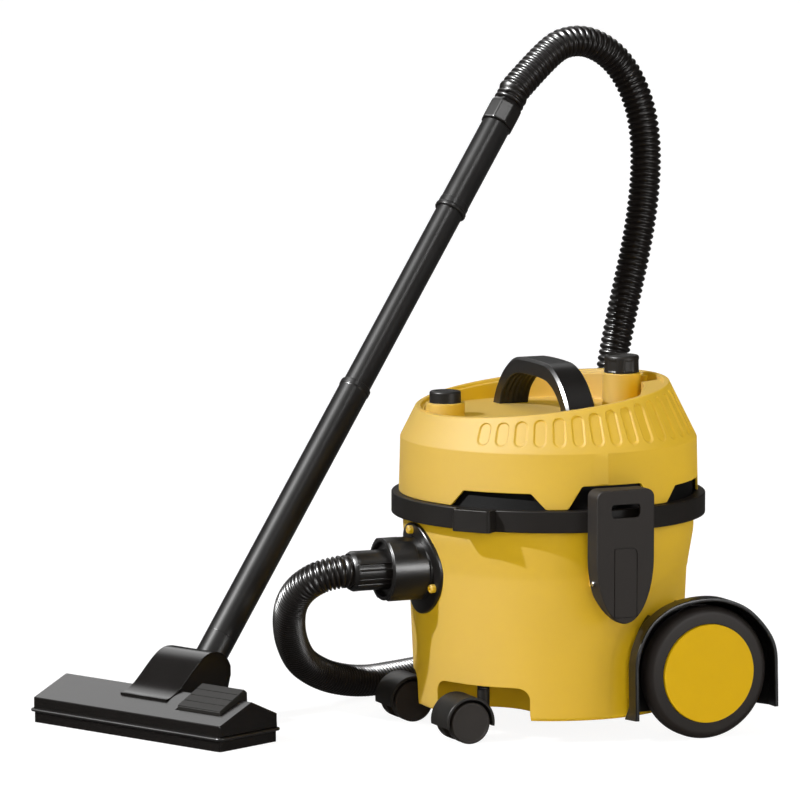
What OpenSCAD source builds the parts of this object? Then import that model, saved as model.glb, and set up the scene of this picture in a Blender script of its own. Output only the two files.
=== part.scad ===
// Drum vacuum cleaner on two casters and two rear wheels, with hose, wand and floor head.
// Millimetres, +Z up. The drum's front, with the hose inlet, faces -X; "near" is the -Y side.

/* [Tank] */
// Outer radius of the tank at its mouth
tank_r = 176; // [172:0.5:180]
// How much slimmer the tank is at its waist, below the step
waist_in = 6.7; // [5:0.1:10]
// How much slimmer the tank is at its foot
foot_in = 14.5; // [12:0.5:18]
// Wall thickness of the tank
tank_wall = 3; // [2:0.5:4]
// Height of the skirt's lower edge above the floor
foot_z = 27.5; // [24:0.5:30]
// Height of the tank floor's underside
tank_floor_z = 75; // [73:1:78]
// Height of the waist
waist_z = 200; // [196:1:204]
// Height at which the tank reaches its full radius
chest_z = 240; // [236:1:246]
// Height of the tank's rim
rim_z = 278; // [276:0.5:279]
// Width of each caster cut-out in the skirt
arch_w = 130; // [126:1:136]
// Height of the top of each caster cut-out
arch_z = 67; // [64:1:69]

/* [Band] */
// Thickness of the band
band_t = 14; // [10:0.5:15]
// Height of the band's lower edge
band_z = 258; // [254:1:262]
// Height of the band
band_h = 26; // [22:0.5:28]
// Direction of the band's pocket
pocket_turn = -142; // [-150:1:-130]
// Width of the pocket
pocket_w = 50; // [40:1:60]
// How far the pocket stands out of the band
pocket_d = 15; // [12:1:20]

/* [Motor head] */
// How far the bottom of the head's skirt stands out from the tank
skirt_out = 5; // [3:0.5:8]
// How much slimmer the head is at its shoulder than at its skirt
shoulder_in = 1.7; // [0:0.1:4]
// Height of the shoulder above the floor
shoulder_z = 351; // [346:1:356]
// Horizontal run of the cone for each unit of height
cone_run = 0.5; // [0.4:0.01:0.6]
// Height of the sloping rim at the drum's axis
rim_mid_z = 404; // [400:1:408]
// Slope of the rim, rising to the rear
rim_tilt = 6.45; // [4:0.05:8]
// Width of the rim
rim_w = 7; // [5:0.5:9]
// Height of the recessed deck
deck_z = 380; // [376:0.5:383]
// Wall thickness of the head
head_wall = 3; // [2:0.25:3.5]
// Number of flutes on each side of the cone
flute_count = 18; // [8:1:18]
// Angle between two flutes
flute_pitch = 7.8; // [7.4:0.1:7.9]
// Width of a flute
flute_w = 15.5; // [10:0.5:17]
// Depth of a flute
flute_depth = 1.5; // [0.5:0.1:2]
// Height of the front and rear cut-outs in the skirt
vent_h = 19; // [12:1:22]
// Height of the latch cut-outs in the skirt
latch_cut_h = 27.6; // [27:0.2:30]

/* [Handle and knobs] */
// Width of the carry handle, front to back
handle_w = 39; // [34:1:44]
// Half the handle's spread at its feet
handle_reach = 106; // [96:1:112]
// Rise of the handle above the deck
handle_rise = 66; // [58:1:76]
// Thickness of the handle's legs
handle_leg = 23; // [18:1:26]
// Thickness of the handle's top
handle_top = 17; // [14:1:20]
// Place of the carry handle along X
handle_x = -5; // [-12:1:4]
// Diameter of the power button
button_d = 38; // [34:1:40]
// Height of the power button above its boss
button_h = 14; // [10:1:18]
// Travel of the power button
button_travel = 3; // [2:0.5:3.5]
// Distance of the power button ahead of the axis
button_x = 131.5; // [128:0.5:132]
// Place of the power button across the drum
button_y = 12; // [0:1:14]
// Diameter of the suction dial
dial_d = 43.5; // [38:0.5:45]
// Height of the suction dial
dial_h = 21; // [16:1:26]
// Distance of the suction dial behind the axis
dial_x = 98; // [94:1:102]
// Height of the top of the dial's pedestal
dial_z = 422.6; // [418:0.2:428]

/* [Latches] */
// Width of a latch
latch_w = 75; // [70:1:76]
// Height of a latch's lower end
latch_z = 151; // [148:1:156]
// Height of a latch's top
latch_top_z = 311; // [310:0.5:312]
// How far a latch's face stands out from the tank
latch_out = 39; // [37:0.5:42]
// Depth of a latch's side walls
latch_depth = 27.4; // [24:0.2:28]
// Height of the latch pins
latch_pin_z = 199; // [196:1:202]
// Radius of the latch pins
latch_pin_r = 3; // [2.5:0.1:4]

/* [Rear wheels] */
// Radius of a rear wheel
wheel_r = 80; // [76:1:81]
// Width of a rear tyre
tyre_w = 28; // [24:1:28]
// How far a rear tyre's outer face stands out from the tank
tyre_out = 15; // [14.5:0.5:17]
// Distance of the rear wheels behind the axis
wheel_x = 122; // [119:1:126]
// Radius of the yellow hub disc
hub_r = 59.5; // [54:0.5:63]
// Radius of the stub axles
axle_r = 8; // [6:0.5:10]
// Thickness of a fender
fender_t = 6.5; // [4:0.5:7]
// Gap between tyre and fender
fender_gap = 7.5; // [5:0.5:9]
// How far a fender's outer edge stands out from its tyre
fender_out = 4; // [1:0.5:7]

/* [Casters] */
// Distance of the caster stems inside the tank's foot
stem_in = 12.3; // [11.3:0.1:15.3]
// Distance of the caster stems from the middle
stem_y = 83; // [80:0.5:84]
// Distance from a caster's stem to its axle
caster_trail = 27; // [24:0.5:28]
// Radius of a caster wheel
caster_r = 25; // [23:0.5:26]
// Width across a caster's two wheels
caster_w = 48; // [42:1:50]
// Width of one caster wheel
caster_wheel_w = 16; // [13:0.5:17]
// Radius of a caster's hood
hood_r = 31.5; // [30:0.5:33]
// Radius of the caster stems
stem_r = 5; // [4:0.25:5.5]

/* [Hose inlet] */
// Height of the inlet's axis
inlet_z = 200; // [197:1:202]
// Radius of the inlet flange
flange_r = 52; // [50:0.5:54]
// Thickness of the inlet flange
flange_t = 5; // [4:0.5:7]
// Outer radius of the inlet collar
collar_r = 37.5; // [36:0.5:39]
// How far the collar's mouth stands out from the tank
collar_out = 37; // [33:1:42]
// Length of the inlet cuff outside the collar
cuff_l = 37; // [33:1:43]
// Outer radius of the inlet cuff's grip
cuff_r = 24.25; // [23:0.25:26]
// Radius of the circle of flange screws
screw_circle = 46.5; // [45:0.5:47]

/* [Hose] */
// Outer diameter of the hose
hose_d = 40; // [36:1:42]
// Bore of the hose
hose_bore = 30; // [26:1:31]
// Number of ribs on the hose
rib_count = 200; // [120:1:200]
// Depth of a rib
rib_depth = 2.5; // [1.5:0.1:3]

/* [Wand] */
// Angle between wand and floor
wand_rise = 49.2; // [46:0.1:52]
// Diameter of the lower tube
lower_tube_d = 38.5; // [37:0.5:40]
// Diameter of the upper tube
upper_tube_d = 35; // [33:0.5:36]
// Wall thickness of the wand's tubes
tube_wall = 1.5; // [1:0.1:2]
// Distance along the wand from elbow to the top of the lower tube
lower_tube_end = 428; // [380:1:460]
// Distance along the wand from elbow to the locking ring
ring_at = 705; // [680:1:720]
// Distance along the wand from elbow to the top of the grip
grip_end = 835; // [800:1:860]
// Diameter of the grip
grip_d = 37.5; // [36:0.5:40]
// Length of the hose cuff on the wand
wand_cuff_l = 34; // [26:1:44]
// Width of the hose cuff across its flats
wand_cuff_d = 41; // [38:0.5:44]

/* [Floor head] */
// Length of the floor head
head_l = 311; // [290:1:330]
// Width of the floor head, front to back
head_w = 100; // [94:1:106]
// Distance of the floor head's pivot ahead of the drum's axis
head_x = 405; // [395:1:415]
// Distance of the floor head's pivot to the far side
head_y = 153; // [146:1:160]
// Turn of the wand's plane from the X axis
head_turn = 24.6; // [20:0.1:28]
// Height of the pivot above the floor
pivot_z = 62; // [60:0.5:64]
// Distance of the floor head's front edge ahead of the pivot
head_front = 115; // [112:1:118]
// Radius of the neck's barrel
barrel_r = 26; // [24:0.5:26]
// Distance of the wand's elbow behind the pivot
elbow_x = 19.3; // [17:0.1:21]
// Width of the hump over the neck
hump_w = 77; // [72:1:86]
// Height of the bumper strip's underside
bumper_z = 13.5; // [12:0.5:15]
// How far the bumper stands out
bumper_out = 4.5; // [3:0.5:6]
// Travel of the brushes
brush_travel = 5; // [3:0.5:5]

/* [Hidden] */
$fn = 48;
NEAR = -1;
FAR = 1;
// Clearances: a pin that turns in its bore, and two parts that pass each other
run_gap = 0.05;
air_gap = 0.3;
big = 1000;

yellow = [0.85, 0.67, 0.16];
black = [0.15, 0.14, 0.13];
steel = [0.72, 0.73, 0.75];
rubber = [0.1, 0.1, 0.1];

// Tank
waist_r = tank_r - waist_in;
foot_r = tank_r - foot_in;
tank_profile = [[foot_z, foot_r], [waist_z, waist_r], [chest_z, tank_r], [rim_z, tank_r]];
function tank_r_at(z) = lookup(z, tank_profile);
tank_floor_t = 3;
tank_edge = 5;
lip_w = 10;
lip_t = 4;
arch_corner_r = 12;
stem_circle = foot_r - stem_in;
stem_x = sqrt(pow(stem_circle, 2) - pow(stem_y, 2));
stem_turn = atan2(-stem_y, -stem_x);
well_r = arch_w / 2;

// Band
band_r = tank_r + band_t;
band_top_z = band_z + band_h;
band_edge = 1.5;
pocket_wall = 4;

// Motor head
skirt_r = tank_r + skirt_out;
shoulder_r = skirt_r - shoulder_in;
skirt_z = band_top_z + 0.4;
gasket_t = 3;
base_r = tank_r - 1.5;
base_z = rim_z + gasket_t;
base_floor_z = skirt_z;
base_floor_t = 3.6;
base_top_z = skirt_z + 33.6;
base_wall = 3;
deck_t = 4;
cone_top_z = 440;
function skirt_r_at(z) = skirt_r + (shoulder_r - skirt_r) * (z - skirt_z) / (shoulder_z - skirt_z);
function cone_r_at(z) = shoulder_r - cone_run * (z - shoulder_z);
function rim_z_at(x) = rim_mid_z + x * tan(rim_tilt);
cone_lean = atan(cone_run);
flute_start = -142;
flute_low_z = shoulder_z + 7;
flute_top_margin = 6;
post_circle = base_r - 24.5;
post_r = 7;
post_turns = [40, 140, 220, 320];
screw_r = 2;
screw_l = 22;
screw_head_h = 2.4;
vent_half = [19.5, 13.7];
vent_reach = 60;
vent_turns = [-135.5, -44.5];
latch_cut_half = [17.8, 12.3];
boss_d = button_d + 9;
boss_top_z = deck_z + 16;
button_drop = button_travel + 5;
pedestal_d = dial_d + 2.5;
pedestal_wall = 4;
switch_r = 14;
switch_low_z = 352;
switch_top_z = boss_top_z - button_drop - button_travel - 0.5;
bush_r = 6;
bush_t = 3;
dial_unit_r = 12;
dial_unit_h = 20;
dial_shaft_r = 3;
gland_z = 330;
gland_r = 7;
gland_bore_r = 3.6;
gland_x = skirt_r_at(gland_z) + 0.9;

// Motor and filter, stacked on the head's base
fan_r = 70;
fan_z = base_floor_z + base_floor_t;
fan_h = 30;
fan_top_z = fan_z + fan_h;
shaft_r = 5;
shaft_z = fan_z + 4;
shaft_top_z = deck_z - deck_t - 5;
bearing_r = 11;
bearing_h = 7;
impeller_r = 60;
impeller_z = fan_z + 6;
impeller_h = 18;
blade_r = 26;
blade_t = 1.5;
blade_at = 34;
blade_low = 14;
motor_r = 48;
stator_z = fan_top_z + 9;
stator_h = 20;
armature_r = 29;
cap_top_z = deck_z - deck_t - 2;
cooling_fan_z = stator_z + stator_h + 3;
cage_r = 72;
cage_h = 128;
cage_z = base_floor_z - 3 - cage_h;
filter_r = 96;
cap_rim = 26;
filter_h = 122;
pleats = 48;
pleat_depth = 9;
cap_h = 9;

// Latches
latch_plate_t = 3.5;
latch_side_t = 3;
latch_taper_z = 230;
latch_corner = 10;
latch_low_depth = 9;
latch_low_lean = 29;
latch_y = tank_r + latch_out;
latch_pin_y = latch_y - 15;
latch_block_gap = 9.5;
latch_block_w = latch_w - 2 * (latch_side_t + latch_block_gap);
latch_block_r = 8;
finger_slot_z = 286;
finger_slot_w = 38;
finger_slot_h = 17;
finger_slot_r = 6;
panel_w = 28.4;
panel_z = [158, 241];
panel_r = 7;
panel_t = 1.2;
ledge_w = 46;
ledge_y = base_r + 11;
ledge_z = skirt_z + 8;
ledge_h = 6;
nose_w = 40;

// Rear wheels
tyre_y = tank_r + tyre_out;
fender_y = tyre_y + fender_out;
fender_r = wheel_r + fender_gap + fender_t;
fender_low_z = 26;
plate_t = 4;
plate_y = tyre_y - tyre_w - 1;
bracket_x = wheel_x - 10;
bracket_t = 5;
fender_in_y = sqrt(pow(foot_r, 2) - pow(bracket_x, 2)) - 16;
axle_boss_r = 16;
axle_in_y = plate_y - 22;
tyre_edge = 8;
web_y = 12;
hub_face_t = 3;
hub_out = 4;
hub_boss_r = 18;
axle_end_y = tyre_y - 3;

// Casters
hood_t = 3.2;
web_w = caster_w - 2 * caster_wheel_w - 2;
stem_low_z = 46;
stem_top_z = tank_floor_z - 0.4;
socket_r = stem_r + 2.5;
socket_low_z = 63;
sleeve_top_z = socket_low_z - 1;
mount_plate_t = 4;
mount_plate_l = 76;
mount_plate_w = 54;
mount_plate_back = 14;
mount_plate_in = 10;
caster_axle_r = 3;

// Inlet
collar_x = tank_r + collar_out;
cuff_x = collar_x + cuff_l;
collar_wall = 6;
spigot_r = collar_r - collar_wall - air_gap;
spigot_wall = 3;
cuff_cone_l = 12;
cuff_ribs = 14;
screw_turns = [105, -22, -142];
screw_head_r = 4.6;
screw_boss_r = 6.5;
screw_shank_l = 14;
flange_low_z = 130;
bayonet_turn = 30;
lug_turn = 150;
lug_turns = [lug_turn, lug_turn + 180];
lug_half = 9;
lug_h = 3;
lug_w = 8;
lug_at = 24;

// Wand and floor head
elbow_r = lower_tube_d / 2;
neck_end = 50;
socket_in = 22;
lower_tube_r = lower_tube_d / 2;
upper_tube_r = upper_tube_d / 2;
lock_ring_l = 14;
lock_ring_r = grip_d / 2 + 1.6;
overlap_l = 60;
sleeve_bore_r = upper_tube_r - tube_wall;
head_top_z = 53;
head_front_z = 30.6;
head_back_z = 34;
head_peak = 56;
head_shell_t = 3;
head_corner_r = 4;
bumper_t = 3.5;
shell_z = bumper_z + bumper_t;
head_back = head_w - head_front;
hump_front = -84;
ridge_x = -3;
ridge_z = pivot_z + 31;
hump_wall = 3;
trunnion_r = 8;
barrel_half = hump_w / 2 - hump_wall - air_gap;
slot_x = 2.5;
pedal_w = 70;
pedal_end_gap = 20.5;
pedal_y = -head_l / 2 + pedal_end_gap + pedal_w / 2;
pedal_front = -93;
pedal_back = -46;
pedal_low_z = 43;
pedal_high_z = 64.5;
pedal_pin = [-88, 38];
pedal_pin_r = 2.5;
mouth_w = 26;
mouth_l = head_l - 50;
strip_x = [-102, -28];
strip_w = 5;
strip_l = mouth_l;
carriage_z = 8.8;

// The route of the hose: straight out of both cuffs, down to the floor and round behind the tank
wand_dir = [cos(wand_rise) * cos(head_turn), cos(wand_rise) * sin(head_turn), sin(wand_rise)];
elbow_at = [-head_x + elbow_x * cos(head_turn), head_y + elbow_x * sin(head_turn), pivot_z];
wand_top = elbow_at + wand_dir * (grip_end + air_gap + wand_cuff_l + air_gap);
hose_start = [-cuff_x - air_gap, 0, inlet_z];
hose_ends_l = [0, 12, 26];
hose_middle = [[-299, 10, 193], [-311, 33, 177], [-310, 66, 153], [-297, 104, 122], [-275, 144, 90],
    [-248, 177, 62], [-210, 206, 40], [-171, 227, 27], [-133, 243, 21], [-94, 258, 20.4],
    [-54, 275, 20.4], [-12, 295, 20.4], [30, 317, 20.4], [72, 339, 20.4], [112, 358, 20.4],
    [150, 370, 22], [186, 377, 32], [216, 381, 54], [236, 383, 86], [245, 384, 124],
    [249, 385, 165], [253, 386, 210], [258, 388, 255], [264, 390, 300], [271, 393, 345],
    [279, 396, 388], [290, 400, 432], [303, 405, 477], [317, 411, 524], [329, 417, 573],
    [337, 423, 622], [338, 427, 670], [331, 431, 713], [315, 434, 750], [292, 436, 777],
    [262, 435, 793], [231, 431, 795], [201, 424, 783]];
hose_route = concat([for (l = hose_ends_l) hose_start + [-l, 0, 0]], hose_middle,
    [for (i = [2:-1:0]) wand_top + wand_dir * hose_ends_l[i]]);

// The row's origin: the middle of the base of everything but the hose
corner_in = [head_front - head_corner_r, head_l / 2 - head_corner_r];
low_x = -head_x - corner_in[0] * cos(head_turn) - corner_in[1] * sin(head_turn) - head_corner_r - bumper_out;
high_x = wheel_x + fender_r;
low_y = -latch_y;
cuff_mid = wand_top - wand_dir * air_gap;
cuff_reach = wand_cuff_d / 2 / cos(22.5);
high_y = cuff_mid[1] + cuff_reach * sqrt(1 - wand_dir[1] * wand_dir[1]);
origin = [(low_x + high_x) / 2, (low_y + high_y) / 2, 0];

// Helpers
module placed() translate(-origin) children();
module on_side(side) mirror([0, side > 0 ? 1 : 0, 0]) children();
module along_x(x, y, z) translate([x, y, z]) rotate([0, 90, 0]) children();
module along_y(x, y, z) translate([x, y, z]) rotate([-90, 0, 0]) children();
module bar_y(x, z, r, y0, y1) along_y(x, y0, z) cylinder(r = r, h = y1 - y0);
module bar_x(y, z, r, x0, x1) along_x(x0, y, z) cylinder(r = r, h = x1 - x0);
module block(low, high) translate(low) cube(high - low);
module rounded(w, h, r) {
    translate([-w / 2 + r, -h / 2]) square([w - 2 * r, h]);
    translate([-w / 2, -h / 2 + r]) square([w, h - 2 * r]);
    for (sx = [-1, 1], sy = [-1, 1]) translate([sx * (w / 2 - r), sy * (h / 2 - r)]) circle(r);
}
// A flat outline, drawn across and up, that is pushed out from the axis in one direction
module radial(turn, r0, r1) rotate([0, 0, turn]) translate([r0, 0, 0])
    rotate([90, 0, 90]) linear_extrude(r1 - r0) children();
module side_profile(y0, y1) translate([0, y1, 0]) rotate([90, 0, 0]) linear_extrude(y1 - y0) children();

// Tank
module tank_form() rotate_extrude() polygon([[0, foot_z], [foot_r - tank_edge, foot_z],
    [foot_r - 1.5, foot_z + 1.5], [tank_r_at(foot_z + tank_edge), foot_z + tank_edge],
    [waist_r, waist_z], [tank_r, chest_z], [tank_r, rim_z], [0, rim_z]]);

module tank_room() rotate_extrude() polygon([[0, tank_floor_z + tank_floor_t],
    [tank_r_at(tank_floor_z + tank_floor_t) - tank_wall, tank_floor_z + tank_floor_t],
    [waist_r - tank_wall, waist_z], [tank_r - tank_wall, chest_z],
    [tank_r - tank_wall, rim_z - lip_t - lip_w + tank_wall], [tank_r - lip_w, rim_z - lip_t],
    [tank_r - lip_w, rim_z + 1], [0, rim_z + 1]]);

module skirt_room() rotate_extrude() polygon([[0, 0], [foot_r - tank_wall, 0],
    [foot_r - tank_wall, foot_z + tank_edge], [tank_r_at(tank_floor_z) - tank_wall, tank_floor_z],
    [0, tank_floor_z]]);

module caster_arch() {
    translate([-arch_w / 2, 0]) square([arch_w, arch_z - arch_corner_r]);
    translate([-arch_w / 2 + arch_corner_r, 0]) square([arch_w - 2 * arch_corner_r, arch_z]);
    for (s = [-1, 1]) translate([s * (arch_w / 2 - arch_corner_r), arch_z - arch_corner_r])
        circle(arch_corner_r);
}

// Wall round a caster's room: round about the stem, then straight out to the cut-out's sides
module well_plan(r) {
    circle(r);
    translate([0, -r]) square([big, 2 * r]);
}

module caster_well(turn) intersection() {
    translate([0, 0, foot_z]) linear_extrude(tank_floor_z - foot_z + 1) rotate([0, 0, turn])
        translate([stem_circle, 0]) difference() {
            well_plan(well_r + tank_wall);
            well_plan(well_r);
        }
    tank_form();
}

function screw_y(turn) = -screw_circle * cos(turn);
function screw_z(turn) = inlet_z + screw_circle * sin(turn);
function screw_x(turn) = -sqrt(pow(tank_r_at(screw_z(turn)) + flange_t, 2) - pow(screw_y(turn), 2)) - 2.4;

module screw_shanks() for (turn = screw_turns)
    bar_x(screw_y(turn), screw_z(turn), screw_r, screw_x(turn), screw_x(turn) + screw_shank_l + 2);

module latch_block() {
    bar_x(-latch_pin_y, latch_pin_z, latch_block_r, -latch_block_w / 2, latch_block_w / 2);
    block([-latch_block_w / 2, -latch_pin_y, latch_pin_z - latch_block_r],
        [latch_block_w / 2, -waist_r + tank_wall + 6, latch_pin_z + latch_block_r]);
}

module latch_pin(side, extra = 0) on_side(side) bar_x(-latch_pin_y, latch_pin_z,
    latch_pin_r + extra, -latch_w / 2 + 0.5, latch_w / 2 - 0.5);

module tank() color(yellow) placed() difference() {
    union() {
        difference() {
            tank_form();
            skirt_room();
            for (s = [-1, 1]) radial(s * stem_turn, foot_r - 30, foot_r + 30) caster_arch();
            bar_x(0, inlet_z, spigot_r + air_gap, -tank_r - 10, -foot_r + 30);
        }
        for (s = [-1, 1]) caster_well(s * stem_turn);
        for (side = [NEAR, FAR]) on_side(side) latch_block();
    }
    tank_room();
    screw_shanks();
    for (side = [NEAR, FAR]) latch_pin(side);
}

module tank_band() color(black) placed() {
    rotate_extrude() polygon([[tank_r, band_z], [band_r - band_edge, band_z], [band_r, band_z + band_edge],
        [band_r, band_top_z - band_edge], [band_r - band_edge, band_top_z], [tank_r, band_top_z]]);
    difference() {
        rotate([0, 0, pocket_turn]) translate([band_r - 6, 0, band_z])
            linear_extrude(band_h) translate([(pocket_d + 6) / 2, 0]) rounded(pocket_d + 6, pocket_w, 3);
        rotate([0, 0, pocket_turn]) translate([band_r + 2, 0, band_z + pocket_wall])
            linear_extrude(band_h) translate([(pocket_d - 6) / 2, 0])
                square([pocket_d - 6, pocket_w - 2 * pocket_wall], center = true);
        cylinder(r = band_r - 3, h = big);
    }
}

module caster_mounts() color(black) placed() for (side = [NEAR, FAR]) on_side(side) difference() {
    union() {
        translate([-stem_x, -stem_y, socket_low_z]) cylinder(r = socket_r, h = tank_floor_z - socket_low_z);
        intersection() {
            translate([-stem_x + mount_plate_back, -stem_y + mount_plate_in, tank_floor_z - mount_plate_t])
                cube([mount_plate_l, mount_plate_w, 2 * mount_plate_t], center = true);
            cylinder(r = foot_r - tank_wall - 1, h = tank_floor_z);
        }
    }
    translate([-stem_x, -stem_y, socket_low_z - 1]) cylinder(r = stem_r + run_gap, h = big);
}

// Hose inlet
module inlet_flange() color(black) placed() difference() {
    union() {
        intersection() {
            rotate_extrude() polygon([[tank_r - 12, flange_low_z],
                [tank_r_at(flange_low_z) + flange_t, flange_low_z], [waist_r + flange_t, waist_z],
                [tank_r + flange_t, chest_z],
                [tank_r + flange_t, band_z - 1], [tank_r - 12, band_z - 1]]);
            bar_x(0, inlet_z, flange_r, -big, 0);
        }
        bar_x(0, inlet_z, collar_r, -collar_x, -waist_r + 12);
        for (s = [-1, 1]) block([-collar_x + 5, -9, inlet_z + s * collar_r - 3],
            [-waist_r + 5, 9, inlet_z + s * collar_r + 2.5]);
        for (turn = screw_turns)
            bar_x(screw_y(turn), screw_z(turn), screw_boss_r, screw_x(turn), -waist_r + 20);
    }
    tank_form();
    bar_x(0, inlet_z, spigot_r + air_gap, -big, 0);
    screw_shanks();
    bayonet_slot();
}

// Slot through the collar's wall for a bayonet lug: in along the axis, then round
module bayonet_sector(turn0, turn1, d0, d1, r0, r1) translate([-collar_x + d0, 0, inlet_z])
    rotate([0, 90, 0]) rotate([0, 0, turn0]) rotate_extrude(angle = turn1 - turn0)
        translate([r0, 0]) square([r1 - r0, d1 - d0]);

module bayonet_slot() for (turn = lug_turns) {
    bayonet_sector(turn - lug_half, turn + bayonet_turn + lug_half + 1,
        lug_at - 1, lug_at + lug_w + 1, spigot_r - 1, big);
    bayonet_sector(turn + bayonet_turn - lug_half, turn + bayonet_turn + lug_half,
        -1, lug_at + lug_w / 2, spigot_r - 1, spigot_r + air_gap + lug_h + 0.5);
}

module inlet_screws() color(yellow) placed() for (turn = screw_turns) {
    bar_x(screw_y(turn), screw_z(turn), screw_r, screw_x(turn), screw_x(turn) + screw_shank_l);
    difference() {
        translate([screw_x(turn), screw_y(turn), screw_z(turn)]) rotate([0, -90, 0])
            cylinder(r1 = screw_head_r, r2 = screw_head_r - 1.4, h = 3);
        translate([screw_x(turn) - 3.5, screw_y(turn), screw_z(turn)]) rotate([0, 90, 0])
            cylinder(r = 1.6, h = 2, $fn = 6);
    }
}

module inlet_cuff() color(black) placed() difference() {
    union() {
        bar_x(0, inlet_z, spigot_r, -collar_x - air_gap - 0.1, -foot_r + 4);
        along_x(-collar_x - air_gap, 0, inlet_z) rotate([180, 0, 0])
            cylinder(r1 = collar_r - 2.5, r2 = cuff_r, h = cuff_cone_l);
        bar_x(0, inlet_z, cuff_r - 1.6, -cuff_x, -collar_x);
        for (turn = lug_turns) bayonet_sector(turn - lug_half + 1, turn + lug_half - 1,
            lug_at, lug_at + lug_w, spigot_r - 2, spigot_r + lug_h);
        bar_x(0, inlet_z, cuff_r + 0.8, -cuff_x, -cuff_x + 5);
        for (i = [0:cuff_ribs - 1]) rotate_about_inlet(i * 360 / cuff_ribs)
            block([-cuff_x, -2.6, cuff_r - 3], [-collar_x - 3, 2.6, cuff_r]);
    }
    bar_x(0, inlet_z, spigot_r - spigot_wall, -collar_x - 4, 0);
    bar_x(0, inlet_z, hose_bore / 2, -cuff_x - 1, 0);
}
module rotate_about_inlet(a) translate([0, 0, inlet_z]) rotate([a, 0, 0]) children();

// Rear wheels and fenders
module fender_outline(grow) {
    r = fender_r - grow;
    translate([wheel_x, wheel_r]) circle(r);
    translate([wheel_x - r, fender_low_z + grow * 0.7]) square([2 * r, wheel_r - fender_low_z - grow * 0.7]);
}

module fender_ring(y0, y1) difference() {
    side_profile(y0, y1) difference() {
        fender_outline(0);
        fender_outline(fender_t);
        translate([0, -big + fender_low_z]) square([big, big]);
        translate([wheel_x - fender_r + fender_t, 0]) square([2 * (fender_r - fender_t), fender_low_z + 20]);
    }
}

module fender(side) color(black) placed() on_side(side) difference() {
    union() {
        fender_ring(-fender_y, -plate_y + plate_t);
        side_profile(-plate_y, -plate_y + plate_t) difference() {
            fender_outline(0);
            translate([0, -big + fender_low_z + 5]) square([big, big]);
        }
        intersection() {
            fender_ring(-plate_y, -fender_in_y);
            block([0, -big, 0], [bracket_x, big, big]);
        }
        block([bracket_x - bracket_t, -plate_y, fender_low_z + 12],
            [bracket_x, -fender_in_y, wheel_r + fender_r - 9]);
        bar_y(wheel_x, wheel_r, axle_boss_r, -plate_y, -axle_in_y);
    }
    tank_form();
    bar_y(wheel_x, wheel_r, axle_r, -big, -axle_in_y - 2);
}

module stub_axle(side) on_side(side) {
    bar_y(wheel_x, wheel_r, axle_r, -axle_end_y, -axle_in_y - 2);
    bar_y(wheel_x, wheel_r, axle_r + 4, -axle_end_y - 2, -axle_end_y);
}
module stub_axles() color(steel) placed() for (side = [NEAR, FAR]) stub_axle(side);

module turned_y(side, y) on_side(side) translate([wheel_x, -y, wheel_r]) rotate([-90, 0, 0])
    rotate_extrude($fn = 96) children();

// Tyre, web and hub in one moulding; its profile runs from the outer face inwards
module rear_tyre(side) color(rubber) placed() turned_y(side, tyre_y) polygon(concat(
    [[axle_r + run_gap, axle_end_gap()], [hub_boss_r, axle_end_gap()], [hub_boss_r, web_y], [hub_r, web_y],
        [hub_r, 0]],
    [for (i = [0:6]) tyre_shoulder(i, -1)], [for (i = [6:-1:0]) tyre_shoulder(i, 1)],
    [[hub_r, tyre_w], [hub_r, web_y + 5], [hub_boss_r, web_y + 5], [hub_boss_r, tyre_w - 2],
        [axle_r + run_gap, tyre_w - 2]]));
function tyre_shoulder(i, s) = [wheel_r - tyre_edge + tyre_edge * sin(i * 15),
    tyre_w / 2 + s * (tyre_w / 2 - tyre_edge + tyre_edge * cos(i * 15))];
function axle_end_gap() = tyre_y - axle_end_y + air_gap;

module hub_disc(side) color(yellow) placed() turned_y(side, tyre_y + hub_out) polygon([[0, 0],
    [hub_r - 4, 0.8], [hub_r - 1.4, 1.8], [hub_r, 4], [hub_r, hub_out + web_y], [hub_r - 4, hub_out + web_y],
    [hub_r - 4, hub_face_t + 1.5], [0, hub_face_t]]);

// Casters
module at_caster(side) on_side(side) translate([-stem_x - caster_trail, -stem_y, caster_r]) children();

module caster_hood(side) color(black) placed() at_caster(side) difference() {
    union() {
        difference() {
            bar_y(0, 0, hood_r, -caster_w / 2, caster_w / 2);
            bar_y(0, 0, hood_r - hood_t, -caster_w / 2 - 1, -web_w / 2);
            bar_y(0, 0, hood_r - hood_t, web_w / 2, caster_w / 2 + 1);
            block([-big, -big, -big], [big, big, -2]);
        }
        bar_y(0, 0, 12, -web_w / 2, web_w / 2);
        translate([caster_trail, 0, -2]) cylinder(r = stem_r + 2.5, h = sleeve_top_z - caster_r + 2);
        block([0, -web_w / 2, -2], [caster_trail, web_w / 2, 20]);
    }
    bar_y(0, 0, caster_axle_r + run_gap, -big, big);
    bar_y(0, 0, caster_r + 1.2, web_w / 2, caster_w);
    bar_y(0, 0, caster_r + 1.2, -caster_w, -web_w / 2);
    translate([caster_trail, 0, stem_low_z - caster_r]) cylinder(r = stem_r, h = big);
}

module caster_stem(side) color(steel) placed() on_side(side) translate([-stem_x, -stem_y, stem_low_z])
    cylinder(r = stem_r, h = stem_top_z - stem_low_z);

module caster_wheels(side) color(rubber) placed() at_caster(side) for (s = [-1, 1]) on_side(s)
    translate([0, -caster_w / 2, 0]) rotate([-90, 0, 0]) rotate_extrude() polygon([[caster_axle_r, 5],
        [5, 5], [8, 1.2], [18, 1.2], [19.5, 0], [caster_r - 3, 0], [caster_r - 0.8, 1], [caster_r, 3.5],
        [caster_r, caster_wheel_w - 1], [caster_r - 1, caster_wheel_w], [caster_axle_r, caster_wheel_w]]);

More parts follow.
